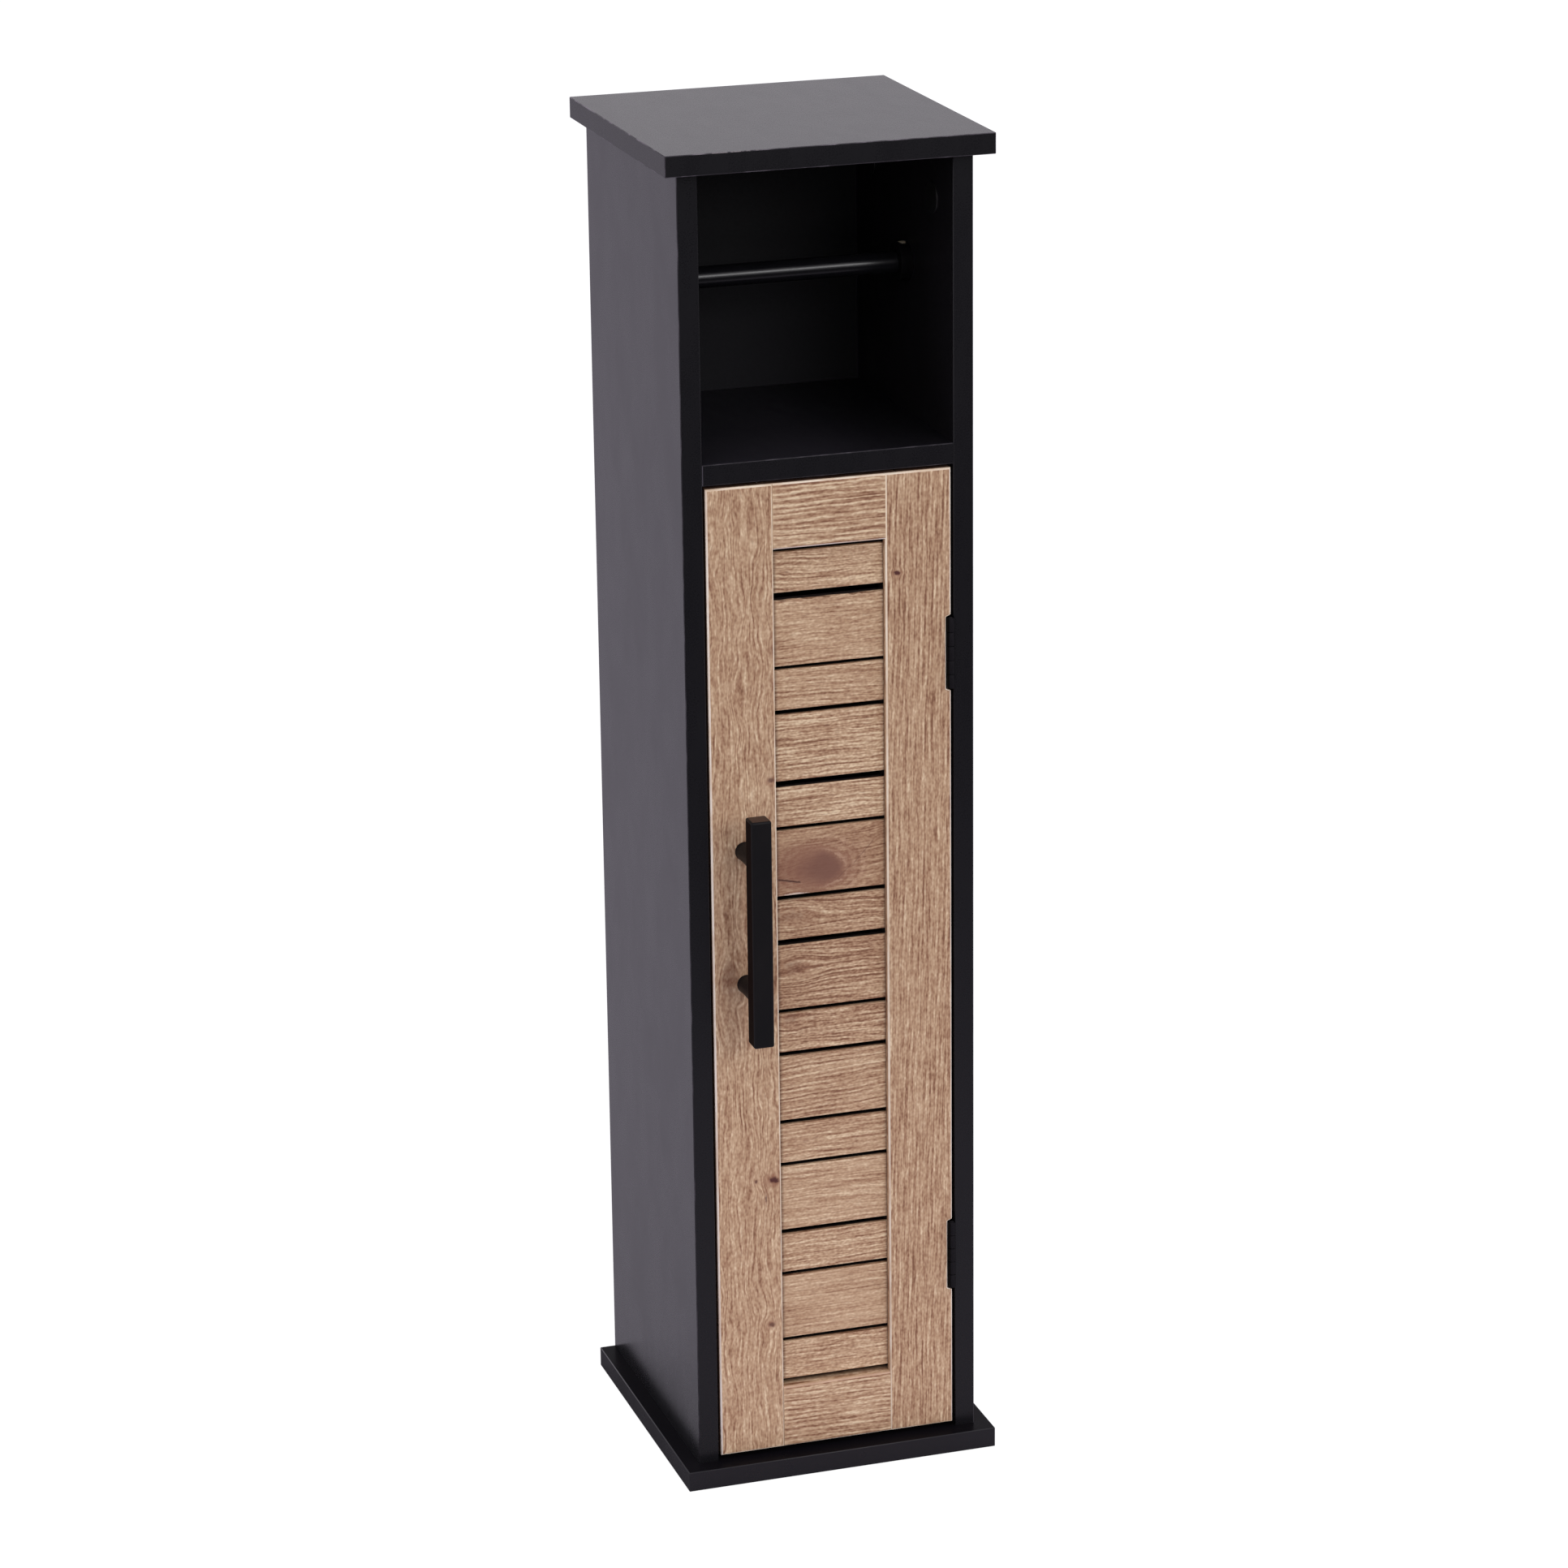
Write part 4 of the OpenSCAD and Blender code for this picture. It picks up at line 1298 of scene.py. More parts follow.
@dataclass
class CrossScrew:
    """A screw with a cross recess, made along +Z from its head's outer face at z = 0.

    Attributes:
        shank: The shank's diameter.
        head: The head's diameter.
        head_height: The head's height.
        shape: The head's shape.
        recess_cells: The number of cells across the grid that the recess is cut from.
        recess_reach: How far the grid reaches from the middle, as a share of the head.
        recess_depth: The recess's depth, as a share of the head's height.
        recess_taper: How far its walls lean in, as a share of a cell.
    """

    shank: float
    head: float
    head_height: float
    shape: HeadShape = HeadShape.COUNTERSUNK
    recess_cells: int = 7
    recess_reach: float = 0.3
    recess_depth: float = 0.55
    recess_taper: float = 0.3

    def make(self, length: float) -> Workpiece:
        """Makes one screw.

        Args:
            length: Its length with the head, in millimetres.

        Returns:
            The workpiece, with its recess sunk into the head.
        """
        made = Workpiece()
        bm = made.bm
        reach = self.head * self.recess_reach * MM
        cell = 2 * reach / self.recess_cells
        bmesh.ops.create_grid(bm, x_segments=self.recess_cells, y_segments=self.recess_cells,
                              size=reach)
        arm = (self.recess_cells - 2) / 2 * cell
        cross = [face for face in bm.faces
                 if self._in_cross(face.calc_center_median(), cell / 2, arm)]
        bmesh.ops.inset_region(bm, faces=cross, thickness=cell * self.recess_taper,
                               depth=self.head_height * self.recess_depth * MM,
                               use_even_offset=True)
        for radius, height in self._outline(length):
            self._next_ring(bm, radius * MM, height * MM)
        rim = [edge for edge in bm.edges if edge.is_boundary]
        bmesh.ops.contextual_create(bm, geom=rim)
        bmesh.ops.recalc_face_normals(bm, faces=bm.faces)
        return made

    def _outline(self, length: float) -> list[Span]:
        """Draws the screw's outline.

        Args:
            length: The screw's length with the head, in millimetres.

        Returns:
            Pairs of radius and height from the rim of the head's top down to the tip.
        """
        radius = self.head / 2
        shank = self.shank / 2
        if self.shape is HeadShape.PAN:
            dome = self.head_height * 0.3
            head = [(radius * 0.86, dome * 0.35), (radius * 0.98, dome),
                    (radius, dome * 1.6), (radius, self.head_height),
                    (shank, self.head_height)]
        else:
            head = [(radius * 0.95, 0.0), (radius, 0.12), (shank, self.head_height)]
        return [*head, (shank, length - shank), (shank * 0.35, length)]

    @staticmethod
    def _in_cross(point: Vector, half: float, arm: float) -> bool:
        """Whether a point lies in one of the recess's two bars."""
        x, y = abs(point.x), abs(point.y)
        return min(x, y) < half and max(x, y) < arm

    @staticmethod
    def _next_ring(bm: bmesh.types.BMesh, radius: float, height: float) -> None:
        """Extrudes the open rim to the next ring.

        Args:
            bm: The screw so far.
            radius: The ring's radius in metres.
            height: The ring's height in metres.
        """
        rim = [edge for edge in bm.edges if edge.is_boundary]
        made = bmesh.ops.extrude_edge_only(bm, edges=rim)
        for vert in (item for item in made["geom"] if isinstance(item, bmesh.types.BMVert)):
            flat = Vector((vert.co.x, vert.co.y, 0.0)).normalized() * radius
            vert.co = (flat.x, flat.y, height)

    def set_of(self, name: str, node: str, way: Vector | Callable[[Vector], Vector],
               finish: Finish, body: Body, slot: str) -> None:
        """Puts a screw at each solid of a node and replaces the node.

        Args:
            name: The new piece's name.
            node: The node that holds the plain screws.
            way: The way that the screws point, or the way for a screw at a given middle.
            finish: The screws' finish.
            body: The body that they ride on.
            slot: The record's material slot.
        """
        group = Workpiece()
        for low, high in islands(node):
            centre = (low + high) / 2
            axis = way if isinstance(way, Vector) else way(centre)
            length = abs((high - low).dot(axis))
            screw = self.make(length / MM)
            screw.move(standing_at(centre - axis * length / 2, axis))
            group.add(screw)
        group.finish(name, [finish], body, slot, [node])


# ---------------------------------------------------------------- sub-assemblies


def across_to_middle(point: Vector) -> Vector:
    """The direction along X from a point towards the cabinet's middle."""
    return LEFT if point.x > 0 else RIGHT


@dataclass
class Carcass:
    """The black boards: top, base, two sides, middle shelf and back.

    Attributes:
        ease: The rounding of the boards' edges.
        chipped: The chipped stretch of the top's arris along X.
        painted_joint_shade: Where painted shade darkens the shelf into the back, measured along Y
            from the back's face.
        dusk: Where along X the painted shade of the niche's right corner comes up on the shelf.
    """

    ease: float = 0.45
    chipped: Span = (-76.0, -42.0)
    painted_joint_shade: Span = (-1.1, -0.5)
    dusk: Span = (-10.0, 50.0)

    def build(self) -> None:
        """Builds and dresses the boards."""
        # The top's arris is pale as painted highlight, with chips in one stretch along X.
        chipped = BoardEdge("top_panel_arris", srgb(58, 55, 60), srgb(128, 122, 130),
                            self.chipped)
        self._plate("top_panel", [MELAMINE, chipped, TOP])
        self._plate("base_panel", [FOOT, FOOT, FOOT_SIDE])
        self._upright("left_side_panel")
        self._upright("right_side_panel")
        self._shelf()
        dress_node("back_panel", Hardboard())

    def _plate(self, node: str, finishes: Sequence[Finish]) -> None:
        """Builds the top or the base, with all its outer edges eased.

        Args:
            node: The board's node.
            finishes: The finishes of its front and back, of its eased edges, and of its upper
                face and its two ends.
        """
        board = Workpiece.from_node(node)
        board.ease(board.outline_edges(), self.ease, group=1)
        board.group_faces(2, lambda face: facing(face, LEFT, RIGHT, UP), smooth=False)
        board.finish(node + "_board", finishes, Body.CABINET, "black_board", [node])

    def _upright(self, node: str) -> None:
        """Builds a side panel, whose outer upright edges are pale as painted highlight.

        Args:
            node: The panel's node.
        """
        centre = middle(node)
        board = Workpiece.from_node(node)
        pale = board.outline_edges("Z", lambda point: abs(point.x) > abs(centre.x))
        board.ease(pale, self.ease, group=1)
        board.ease(board.outline_edges("Z"), self.ease)
        board.group_faces(2, lambda face: facing(face, across_to_middle(centre)), smooth=False)
        board.finish(node + "_board", [MELAMINE, ARRIS, NICHE], Body.CABINET, "black_board",
                     [node])

    def _shelf(self) -> None:
        """Builds the middle shelf: its upper face lighter as painted light and with painted shade,
        and its left seam pale as painted highlight.
        """
        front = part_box("middle_shelf")[0].y
        shelf = Workpiece.from_node("middle_shelf")
        shelf.ease(shelf.outline_edges("X", lambda point: abs(point.y - front) < MM),
                   self.ease, group=1)
        shelf.group_faces(2, lambda face: face.normal.z > 0.99, smooth=False)
        shelf.ease(shelf.outline_edges("Z", lambda point: point.x < 0
                                       and abs(point.y - front) < MM), self.ease, group=3)
        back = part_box("back_panel")[0].y / MM
        # The shelf's upper face: a lighter copy of the melamine as painted light, with painted
        # shade at the back and right.
        lit_and_shaded_shelf_top = BlackBoard("shelf_top_lit_and_shaded_melamine", srgb(31, 30, 35), srgb(38, 36, 41), 0.42, 1.28,
                             painted_joint_shade=tuple(back + off for off in self.painted_joint_shade), dusk=self.dusk)
        # The seam's pale arris is painted highlight.
        seam = BoardEdge("shelf_end_arris", srgb(88, 84, 92), srgb(132, 126, 134))
        shelf.finish("middle_shelf_board", [MELAMINE, ARRIS, lit_and_shaded_shelf_top, seam], Body.CABINET,
                     "black_board", ["middle_shelf"])


@dataclass
class KnockDownFittings:
    """Cams, bolts, cover caps, dowels and the screws through the base.

    Attributes:
        cap: A cover cap's diameter.
        cap_lip: The height of its rim.
        cap_stem: Its stem's diameter.
        cap_stem_length: Its stem's length.
        base_screw: The screw through the base.
    """

    cap: float = 18.5
    cap_lip: float = 0.9
    cap_stem: float = 5.0
    cap_stem_length: float = 2.0
    base_screw: CrossScrew = field(default_factory=lambda: CrossScrew(4.0, 8.0, 2.5))

    def build(self) -> None:
        """Builds and dresses the fittings."""
        self._caps()
        self.base_screw.set_of("base_screw_set", "base_screws", UP, ZINC, Body.CABINET,
                               "zinc_fittings")
        dress_node("cam_locks", ZINC)
        dress_node("cam_bolts", ZINC)
        dress_node("wood_dowels", Beech())

    def _caps(self) -> None:
        """Turns the cover caps, each with a rounded rim and a stem into its cam."""
        rim, lip = self.cap / 2, self.cap_lip
        stem, below = self.cap_stem / 2, self.cap_stem_length
        outline = [(0.0, -below), (stem - 0.4, -below), (stem, 0.4 - below), (stem, 0.0),
                   (rim, 0.0), (rim, lip * 0.35), (rim - 0.12, lip * 0.66),
                   (rim - 0.45, lip * 0.93), (rim - 1.0, lip), (0.0, lip)]
        group = Workpiece()
        for low, high in islands("cam_cover_caps"):
            size = high - low
            centre = (low + high) / 2
            outward = DOWN if size.z < size.x else across_to_middle(centre)
            foot = centre + outward * ((below - lip) / 2 * MM)
            group.add(Workpiece.turned(outline, foot, outward))
        group.finish("cam_cap_set", [PLASTIC], Body.CABINET, "black_plastic",
                     ["cam_cover_caps"])


@dataclass
class RollRod:
    """The sprung rod in its two cups.

    Attributes:
        cup_floor: The thickness of a cup's floor.
        edge: The rounding of a cup's rim.
        play: The room round a screw, the plunger and the plug in their holes.
        pale_spot_from_wall: Where the pale spot on the right cup's crown lies, from the wall along
            X.
        wall: The thickness of the tube's wall.
        plug_play: The room round the plug's stem in the tube.
        roll: How far the tube's ends are rolled in.
        collar_length: The length of the plunger's collar.
        cup_screw: The screw that holds a cup.
    """

    cup_floor: float = 2.0
    edge: float = 0.6
    play: float = 0.1
    pale_spot_from_wall: float = -3.2
    wall: float = 1.0
    plug_play: float = 0.05
    roll: float = 0.25
    collar_length: float = 3.0
    cup_screw: CrossScrew = field(default_factory=lambda: CrossScrew(3.5, 6.5, 2.0))

    def build(self) -> None:
        """Builds the cups, the tube, its plug and the plunger, and dresses the rest."""
        self._cup("left_rod_cup", self._plunger_radius())
        self._cup("right_rod_cup", round_box("rod_end_plug", 0)[0])
        self.cup_screw.set_of("cup_screw_set", "rod_cup_screws",
                              lambda point: -across_to_middle(point), ZINC, Body.CABINET,
                              "zinc_fittings")
        self._tube()
        self._plug()
        self._plunger()
        dress_node("rod_guide_bush", PLASTIC)
        dress_node("rod_spring_seat", PLASTIC)
        dress_node("rod_spring", ZINC)

    def _cup(self, node: str, inner: float) -> None:
        """Turns one cup, with a rounded rim and a softened mouth.

        Args:
            node: The cup's node.
            inner: The radius of what the cup holds, in millimetres.
        """
        radius, depth, foot = round_box(node, 0)
        axis = across_to_middle(foot)
        coat = CUP_COAT
        if axis == LEFT:
            foot.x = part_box(node)[1].x
            # The right cup has a pale spot on its crown.
            crown = foot / MM + Vector((self.pale_spot_from_wall, 0.0, radius))
            coat = replace(CUP_COAT, name="spotted_cup_lacquer", pale_spot_at=tuple(crown))
        bore = inner + self.play
        hole = self.cup_screw.shank / 2 + self.play
        sink = self.cup_screw.head / 2 + self.play
        edge = self.edge
        outline = [(hole, 0.0), (radius, 0.0), (radius, depth - edge),
                   (radius - edge * 0.3, depth - edge * 0.3), (radius - edge, depth),
                   (bore + 0.4, depth), (bore, depth - 0.4), (bore, self.cup_floor),
                   (min(sink, bore), self.cup_floor), (hole, 0.0)]
        cup = Workpiece.turned(outline, foot, axis, 64)
        cup.finish(node + "_turned", [coat], Body.CABINET, "black_metal", [node])

    @staticmethod
    def _plunger_radius() -> float:
        """Measures the plunger's round nose.

        Returns:
            Its radius in millimetres.
        """
        bm = Workpiece.from_node("rod_plunger").bm
        tip = min(vert.co.x for vert in bm.verts)
        centre = middle("rod_plunger")
        radius = max(math.hypot(vert.co.y - centre.y, vert.co.z - centre.z)
                     for vert in bm.verts if vert.co.x < tip + MM)
        bm.free()
        return radius / MM

    def _tube(self) -> None:
        """Turns the rod's tube, with its ends rolled in a little."""
        radius, length, foot = round_box("rod_tube", 0)
        bore, roll = radius - self.wall, self.roll
        outline = [(bore, 0.0), (radius - roll, 0.0), (radius, roll), (radius, length - roll),
                   (radius - roll, length), (bore, length), (bore, 0.0)]
        tube = Workpiece.turned(outline, foot, RIGHT, 72)
        tube.finish("rod_tube_rolled", [ROD_COAT], Body.ROD, "black_metal", ["rod_tube"])

    def _plug(self) -> None:
        """Turns the plug that closes the rod's right end, with a domed nose."""
        radius, length, foot = round_box("rod_end_plug", 0)
        inner = radius - self.wall - self.plug_play
        stem = (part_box("rod_tube")[1].x - foot.x) / MM
        outline = [(0.0, 0.0), (inner - 0.5, 0.0), (inner, 0.5), (inner, stem), (radius, stem),
                   (radius, length - 0.7), (radius - 0.25, length - 0.25),
                   (radius - 0.9, length - 0.03), (radius * 0.5, length), (0.0, length)]
        plug = Workpiece.turned(outline, foot, RIGHT, 64)
        plug.finish("rod_end_plug_turned", [COAT], Body.ROD, "black_metal", ["rod_end_plug"])

    def _plunger(self) -> None:
        """Turns the plunger, with a rounded nose and the collar that the spring bears on."""
        collar, length, foot = round_box("rod_plunger", 0)
        nose = self._plunger_radius()
        neck = length - self.collar_length
        outline = [(0.0, 0.0), (nose - 1.2, 0.0), (nose - 0.35, 0.35), (nose, 1.2), (nose, neck),
                   (collar, neck), (collar, length - 0.3), (collar - 0.3, length), (0.0, length)]
        plunger = Workpiece.turned(outline, foot, RIGHT)
        plunger.finish("rod_plunger_turned", [PLASTIC], Body.PLUNGER, "black_plastic",
                       ["rod_plunger"])


@dataclass(frozen=True)
class SlatLook:
    """How the foil lies on one slat, with the marks in it. The fields are those of OakFoil."""

    waviness: float
    band_share: float
    contrast: float
    tilt: float
    tone: float
    knots: tuple[Knot, ...] = ()
    patches: tuple[Patch, ...] = ()
    cracks: tuple[Crack, ...] = ()


@dataclass
class SlattedDoor:
    """The oak-look door: two stiles, two rails and fifteen slats in grooves.

    Attributes:
        ease: The rounding of the frame's front edges in the frame's own meshes.
        slat_ease: The rounding of the slats' front edges.
        chipped_slat: The slat whose upper edge is chipped.
        chip_seed: The seed of the draws that break its edge.
        chip_points: The number of points that break its edge.
        chip_depth: The depth of its chips.
        chip_ease: The rounding of the chips' edges.
        notch_ease: The rounding of the hinge notches' edges.
        notch_width: How far from the stile's outer face the notches' edges lie at most.
        groove_depth: How far behind the stiles' front their grooves' faces start.
        slot_shade: Where painted shade darkens the slats' upper faces, measured from the slats'
            front.
        wide_slot_shade: The same below the wide slots.
        below_wide_slots: The slats below the wide slots.
        reveal_shade: Where painted shade darkens the stiles' inner faces, measured from the
            stiles' front.
        rim_shade: Where painted shade darkens the door's outer faces, measured from the door's
            front.
        rail_shade: Where painted shade darkens the bottom rail's upper face, measured from the
            door's front.
        rim_shade_colour: The colour of the painted shade on the door's outer faces in their depth.
        pale: The top rail's eased edges, nearly white as painted highlight.
        slat_ends: The stiles' inner edges along X.
        left_knots: The knots in the left stile.
        right_knots: The knots in the right stile.
        slat_looks: How the foil lies on each slat, from the top.
    """

    EASED_FORWARD, EASED_SIDEWAYS = 0.93, 0.999   # the most of an eased face's normal each way

    ease: float = 1.5
    slat_ease: float = 0.45
    chipped_slat: int = 2
    chip_seed: int = 4
    chip_points: int = 48
    chip_depth: float = 1.3
    chip_ease: float = 0.3
    notch_ease: float = 0.6
    notch_width: float = 4.5
    groove_depth: float = 4.0
    slot_shade: Span = (2.0, 3.2)
    wide_slot_shade: Span = (0.4, 1.4)
    below_wide_slots: tuple[int, ...] = (2, 5, 8)
    reveal_shade: Span = (2.8, 6.2)
    rim_shade: Span = (1.4, 3.6)
    rail_shade: Span = (4.0, 14.0)
    rim_shade_colour: Colour = srgb(92, 66, 52)
    pale: OakEdge = OakEdge("oak_edge_pale", srgb(255, 250, 242), srgb(236, 216, 194))
    slat_ends: Span = (-31.5, 33.0)
    left_knots: tuple[Knot, ...] = (
        Knot(-33.8, 504.0, 1.6, 4.0, 0.45),
        Knot(-36.1, 427.7, 2.4, 2.2, 0.7),
        Knot(-38.2, 184.6, 3.6, 2.4, 1.0, 2.4, 0.6),
        Knot(-48.4, 185.0, 1.2, 1.3, 0.8),
        Knot(-42.4, 173.6, 0.7, 3.4, 0.7),
        Knot(-63.0, 313.0, 6.5, 12.0, 0.32, 1.7),
        Knot(-40.0, 94.2, 2.6, 2.0, 0.75),
    )
    right_knots: tuple[Knot, ...] = (Knot(39.8, 541.9, 1.9, 1.35, 1.0, 1.9, 0.6),)
    slat_looks: tuple[SlatLook, ...] = (
        SlatLook(1.4, 0.10, 1.12, 0.02, 0.11, (Knot(-24.0, 547.0, 1.2, 0.9, 0.35),)),
        SlatLook(0.8, 0.03, 0.95, 0.00, 0.06),
        SlatLook(0.8, 0.10, 1.00, 0.03, 0.05),
        SlatLook(0.8, 0.18, 1.22, 0.00, 0.05),
        SlatLook(0.6, 0.16, 1.22, 0.00, 0.08),
        SlatLook(2.2, 0.03, 0.85, -0.06, -0.17, (Knot(-18.1, 368.2, 2.4, 2.2, 0.4, 2.2),),
                 (Patch(-15.0, 371.0, 35.0, 18.0, 0.76, srgb(145, 100, 80), rim=0.25),
                  Patch(-6.0, 370.6, 15.0, 10.5, 0.58, srgb(108, 71, 62), rim=0.4, rings=0.12),
                  Patch(-22.0, 356.4, 9.0, 0.75, 0.75, srgb(240, 224, 206), 1.4, rim=0.0)),
                 (Crack(-24.6, 364.6, 6.8, 0.7, -0.21, 0.85, srgb(74, 44, 36)),
                  Crack(20.5, 377.5, 6.5, 0.6, 1.05, 0.4, srgb(112, 76, 62)),
                  Crack(8.5, 366.5, 4.5, 0.5, 0.9, 0.4, srgb(112, 78, 64)))),
        SlatLook(2.0, 0.12, 1.20, 0.02, -0.09, (Knot(-22.0, 343.0, 9.0, 4.0, 0.22),)),
        SlatLook(1.2, 0.18, 1.20, 0.00, -0.12, (Knot(-22.0, 312.0, 7.0, 5.0, 0.25),)),
        SlatLook(1.6, 0.14, 1.28, 0.02, -0.02, (Knot(-24.0, 281.0, 6.0, 4.0, 0.25),)),
        SlatLook(1.0, 0.20, 0.98, -0.05, 0.00),
        SlatLook(0.9, 0.20, 0.96, 0.00, 0.01),
        SlatLook(1.4, 0.06, 0.88, 0.03, 0.09),
        SlatLook(0.9, 0.22, 1.12, -0.02, 0.03),
        SlatLook(0.6, 0.06, 0.78, 0.00, 0.06),
        SlatLook(1.6, 0.10, 1.10, 0.02, 0.03),
    )

    def build(self) -> None:
        """Builds the frame members and the slats."""
        self._stile("door_left_stile", OakFoil(
            "oak_left_stile", Grain.UPRIGHT, 0.0, 2.8, 44.0, 0.85, band_share=0.08,
            knots=self.left_knots))
        self._stile("door_right_stile", OakFoil(
            "oak_right_stile", Grain.UPRIGHT, 900.0, 1.2, 90.0, 0.2, -0.03, band_share=0.12,
            tone=-0.04, knots=self.right_knots))
        foil = OakFoil("oak_top_rail", Grain.LEVEL, 300.0, 0.8, 50.0, 0.3, band=3.3,
                       band_share=0.36, contrast=0.95, tone=0.06)
        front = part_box("door_top_rail")[0].y
        # The top rail's lower eased edge is nearly white as painted highlight, and its upper face
        # carries painted shade.
        self._rail("door_top_rail", 3, [foil, self.pale, self._rim(foil, front), OakEdge()])
        foil = OakFoil("oak_bottom_rail", Grain.LEVEL, 600.0, 0.8, 60.0, 0.3, band=2.9,
                       band_share=0.26, tone=0.02)
        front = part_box("door_bottom_rail")[0].y
        # The bottom rail's upper face is a darker copy with painted shade that deepens behind its
        # front.
        upper = replace(foil, name="oak_rail_top_face", tone=-0.1,
                        slot=self._behind(front, self.rail_shade))
        # A duller copy of the painted highlight for the bottom rail's upper eased edge.
        worn = OakEdge("oak_edge_dull_highlight", srgb(214, 184, 156), srgb(190, 156, 128))
        self._rail("door_bottom_rail", 1, [foil, OakEdge(), upper, worn])
        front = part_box("slat_01")[0].y
        # The slats' upper faces, in the slots, are darker copies with painted shade that deepens
        # towards the back.
        slot_face = OakFoil("oak_slot_face", Grain.LEVEL, 50.0, tone=-0.04,
                            slot=self._behind(front, self.slot_shade))
        wide_slot_face = replace(slot_face, name="oak_wide_slot_face",
                                 slot=self._behind(front, self.wide_slot_shade))
        for number, look in enumerate(self.slat_looks, 1):
            self._slat(number, look,
                       wide_slot_face if number in self.below_wide_slots else slot_face)

    @staticmethod
    def _behind(front: float, shade: Span) -> Span:
        """A stretch behind a front plane in metres, made places along Y in millimetres."""
        return tuple(front / MM + depth for depth in shade)

    def _rim(self, foil: OakFoil, front: float) -> OakFoil:
        """The foil of a member's outer face: a darker copy with painted shade that deepens behind
        the door's front.

        Args:
            foil: The foil of the member's front.
            front: The place of its front plane in metres.

        Returns:
            The outer face's foil.
        """
        return replace(foil, name=foil.name + "_rim", tone=-0.1, slot_shade_colour=self.rim_shade_colour,
                       slot=self._behind(front, self.rim_shade))

    def _member(self, node: str) -> Workpiece:
        """Starts a stile or a rail, with the rounding of its front edges in group 1.

        Args:
            node: The member's node.

        Returns:
            The workpiece.
        """
        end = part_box(node)[0].y + self.ease * MM * 1.05
        member = Workpiece.from_node(node)
        member.group_faces(1, lambda face: self._is_eased(face, end))
        return member

    def _is_eased(self, face: bmesh.types.BMFace, end: float) -> bool:
        """Whether a face belongs to the rounding, apart from its strip next to the front.

        Args:
            face: The face.
            end: Where along Y the rounding ends, in metres.

        Returns:
            Whether it does.
        """
        near_front = all(vert.co.y < end for vert in face.verts)
        forward = -face.normal.y
        sideways = max(abs(face.normal.x), abs(face.normal.z))
        return near_front and forward < self.EASED_FORWARD and sideways < self.EASED_SIDEWAYS

    def _stile(self, node: str, foil: OakFoil) -> None:
        """Builds a stile. The right one's hinge notches have eased edges.

        Args:
            node: The stile's node.
            foil: The foil of its front.
        """
        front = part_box(node)[0].y
        outer = -across_to_middle(middle(node))
        groove = front + self.groove_depth * MM
        member = self._member(node)
        if outer == RIGHT:
            member.ease(self._notch_edges(member, node), self.notch_ease, group=1, clamped=False)
        member.group_faces(2, lambda face: facing(face, -outer) or (
            facing(face, FRONT) and face.calc_center_median().y > groove), smooth=False)
        member.group_faces(3, lambda face: facing(face, outer, UP), smooth=False)
        member.group_faces(4, lambda face: face.material_index == 1
                           and face.normal.dot(outer) > 0.1)
        # The inner faces and groove walls get painted shade, the outer faces and top a darker copy
        # with painted shade, and the outer eased edge a whiter copy of the painted highlight.
        reveal = replace(foil, name=foil.name + "_reveal",
                         slot=self._behind(front, self.reveal_shade))
        outer_edge = OakEdge("oak_edge_outer", srgb(252, 243, 228), srgb(230, 208, 184))
        finishes = [foil, OakEdge(), reveal, self._rim(foil, front), outer_edge]
        member.finish(node + "_foiled", finishes, Body.DOOR, "oak_foil", [node])

    def _rail(self, node: str, end_group: int, finishes: Sequence[Finish]) -> None:
        """Builds a rail.

        Args:
            node: The rail's node.
            end_group: The group that its two ends go into.
            finishes: The finishes of its front, of its eased edges, of its upper face, and of
                its upper eased edge.
        """
        member = self._member(node)
        member.group_faces(2, lambda face: facing(face, UP), smooth=False)
        member.group_faces(3, lambda face: face.material_index == 1 and face.normal.z > 0.1)
        member.group_faces(end_group, lambda face: facing(face, LEFT, RIGHT), smooth=False)
        member.finish(node + "_foiled", finishes, Body.DOOR, "oak_foil", [node])

    def _notch_edges(self, member: Workpiece, node: str) -> list[bmesh.types.BMEdge]:
        """Finds the front edges of the right stile's hinge notches.

        Args:
            member: The stile.
            node: Its node.

        Returns:
            The edges.
        """
        low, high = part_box(node)
        inner = high.x - self.notch_width * MM
        return [edge for edge in member.bm.edges
                if all(abs(vert.co.y - low.y) < 10 * SAME_PLACE and vert.co.x > inner
                       for vert in edge.verts)
                and any(abs(face.normal.y) < 0.01 for face in edge.link_faces)]

    def _slat(self, number: int, look: SlatLook, slot_face: OakFoil) -> None:
        """Builds a slat with eased front edges, and with a chipped upper edge where it has one.

        Args:
            number: The slat's number, from the top.
            look: How the foil lies on it.
            slot_face: The foil of its upper face, in the slot, with painted shade.
        """
        node = f"slat_{number:02d}"
        low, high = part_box(node)
        slat = Workpiece.from_node(node)
        if number == self.chipped_slat:
            self._chip(slat, low, high)
        long_front = slat.outline_edges("X", lambda point: point.y < low.y + MM)
        slat.ease(long_front, self.slat_ease)
        slat.group_faces(1, lambda face: face.normal.z > 0.9, smooth=False)
        foil = OakFoil("oak_" + node, Grain.LEVEL, 37.0 * number * number, look.waviness, 50.0,
                       0.3, look.tilt, 3.0, look.band_share, look.contrast, look.tone,
                       look.knots, look.patches, look.cracks, ends=self.slat_ends)
        broken = OakEdge("oak_broken_edge", srgb(226, 204, 178), srgb(182, 146, 116))
        slat.finish(node + "_foiled", [foil, slot_face, broken], Body.DOOR, "oak_slat", [node])

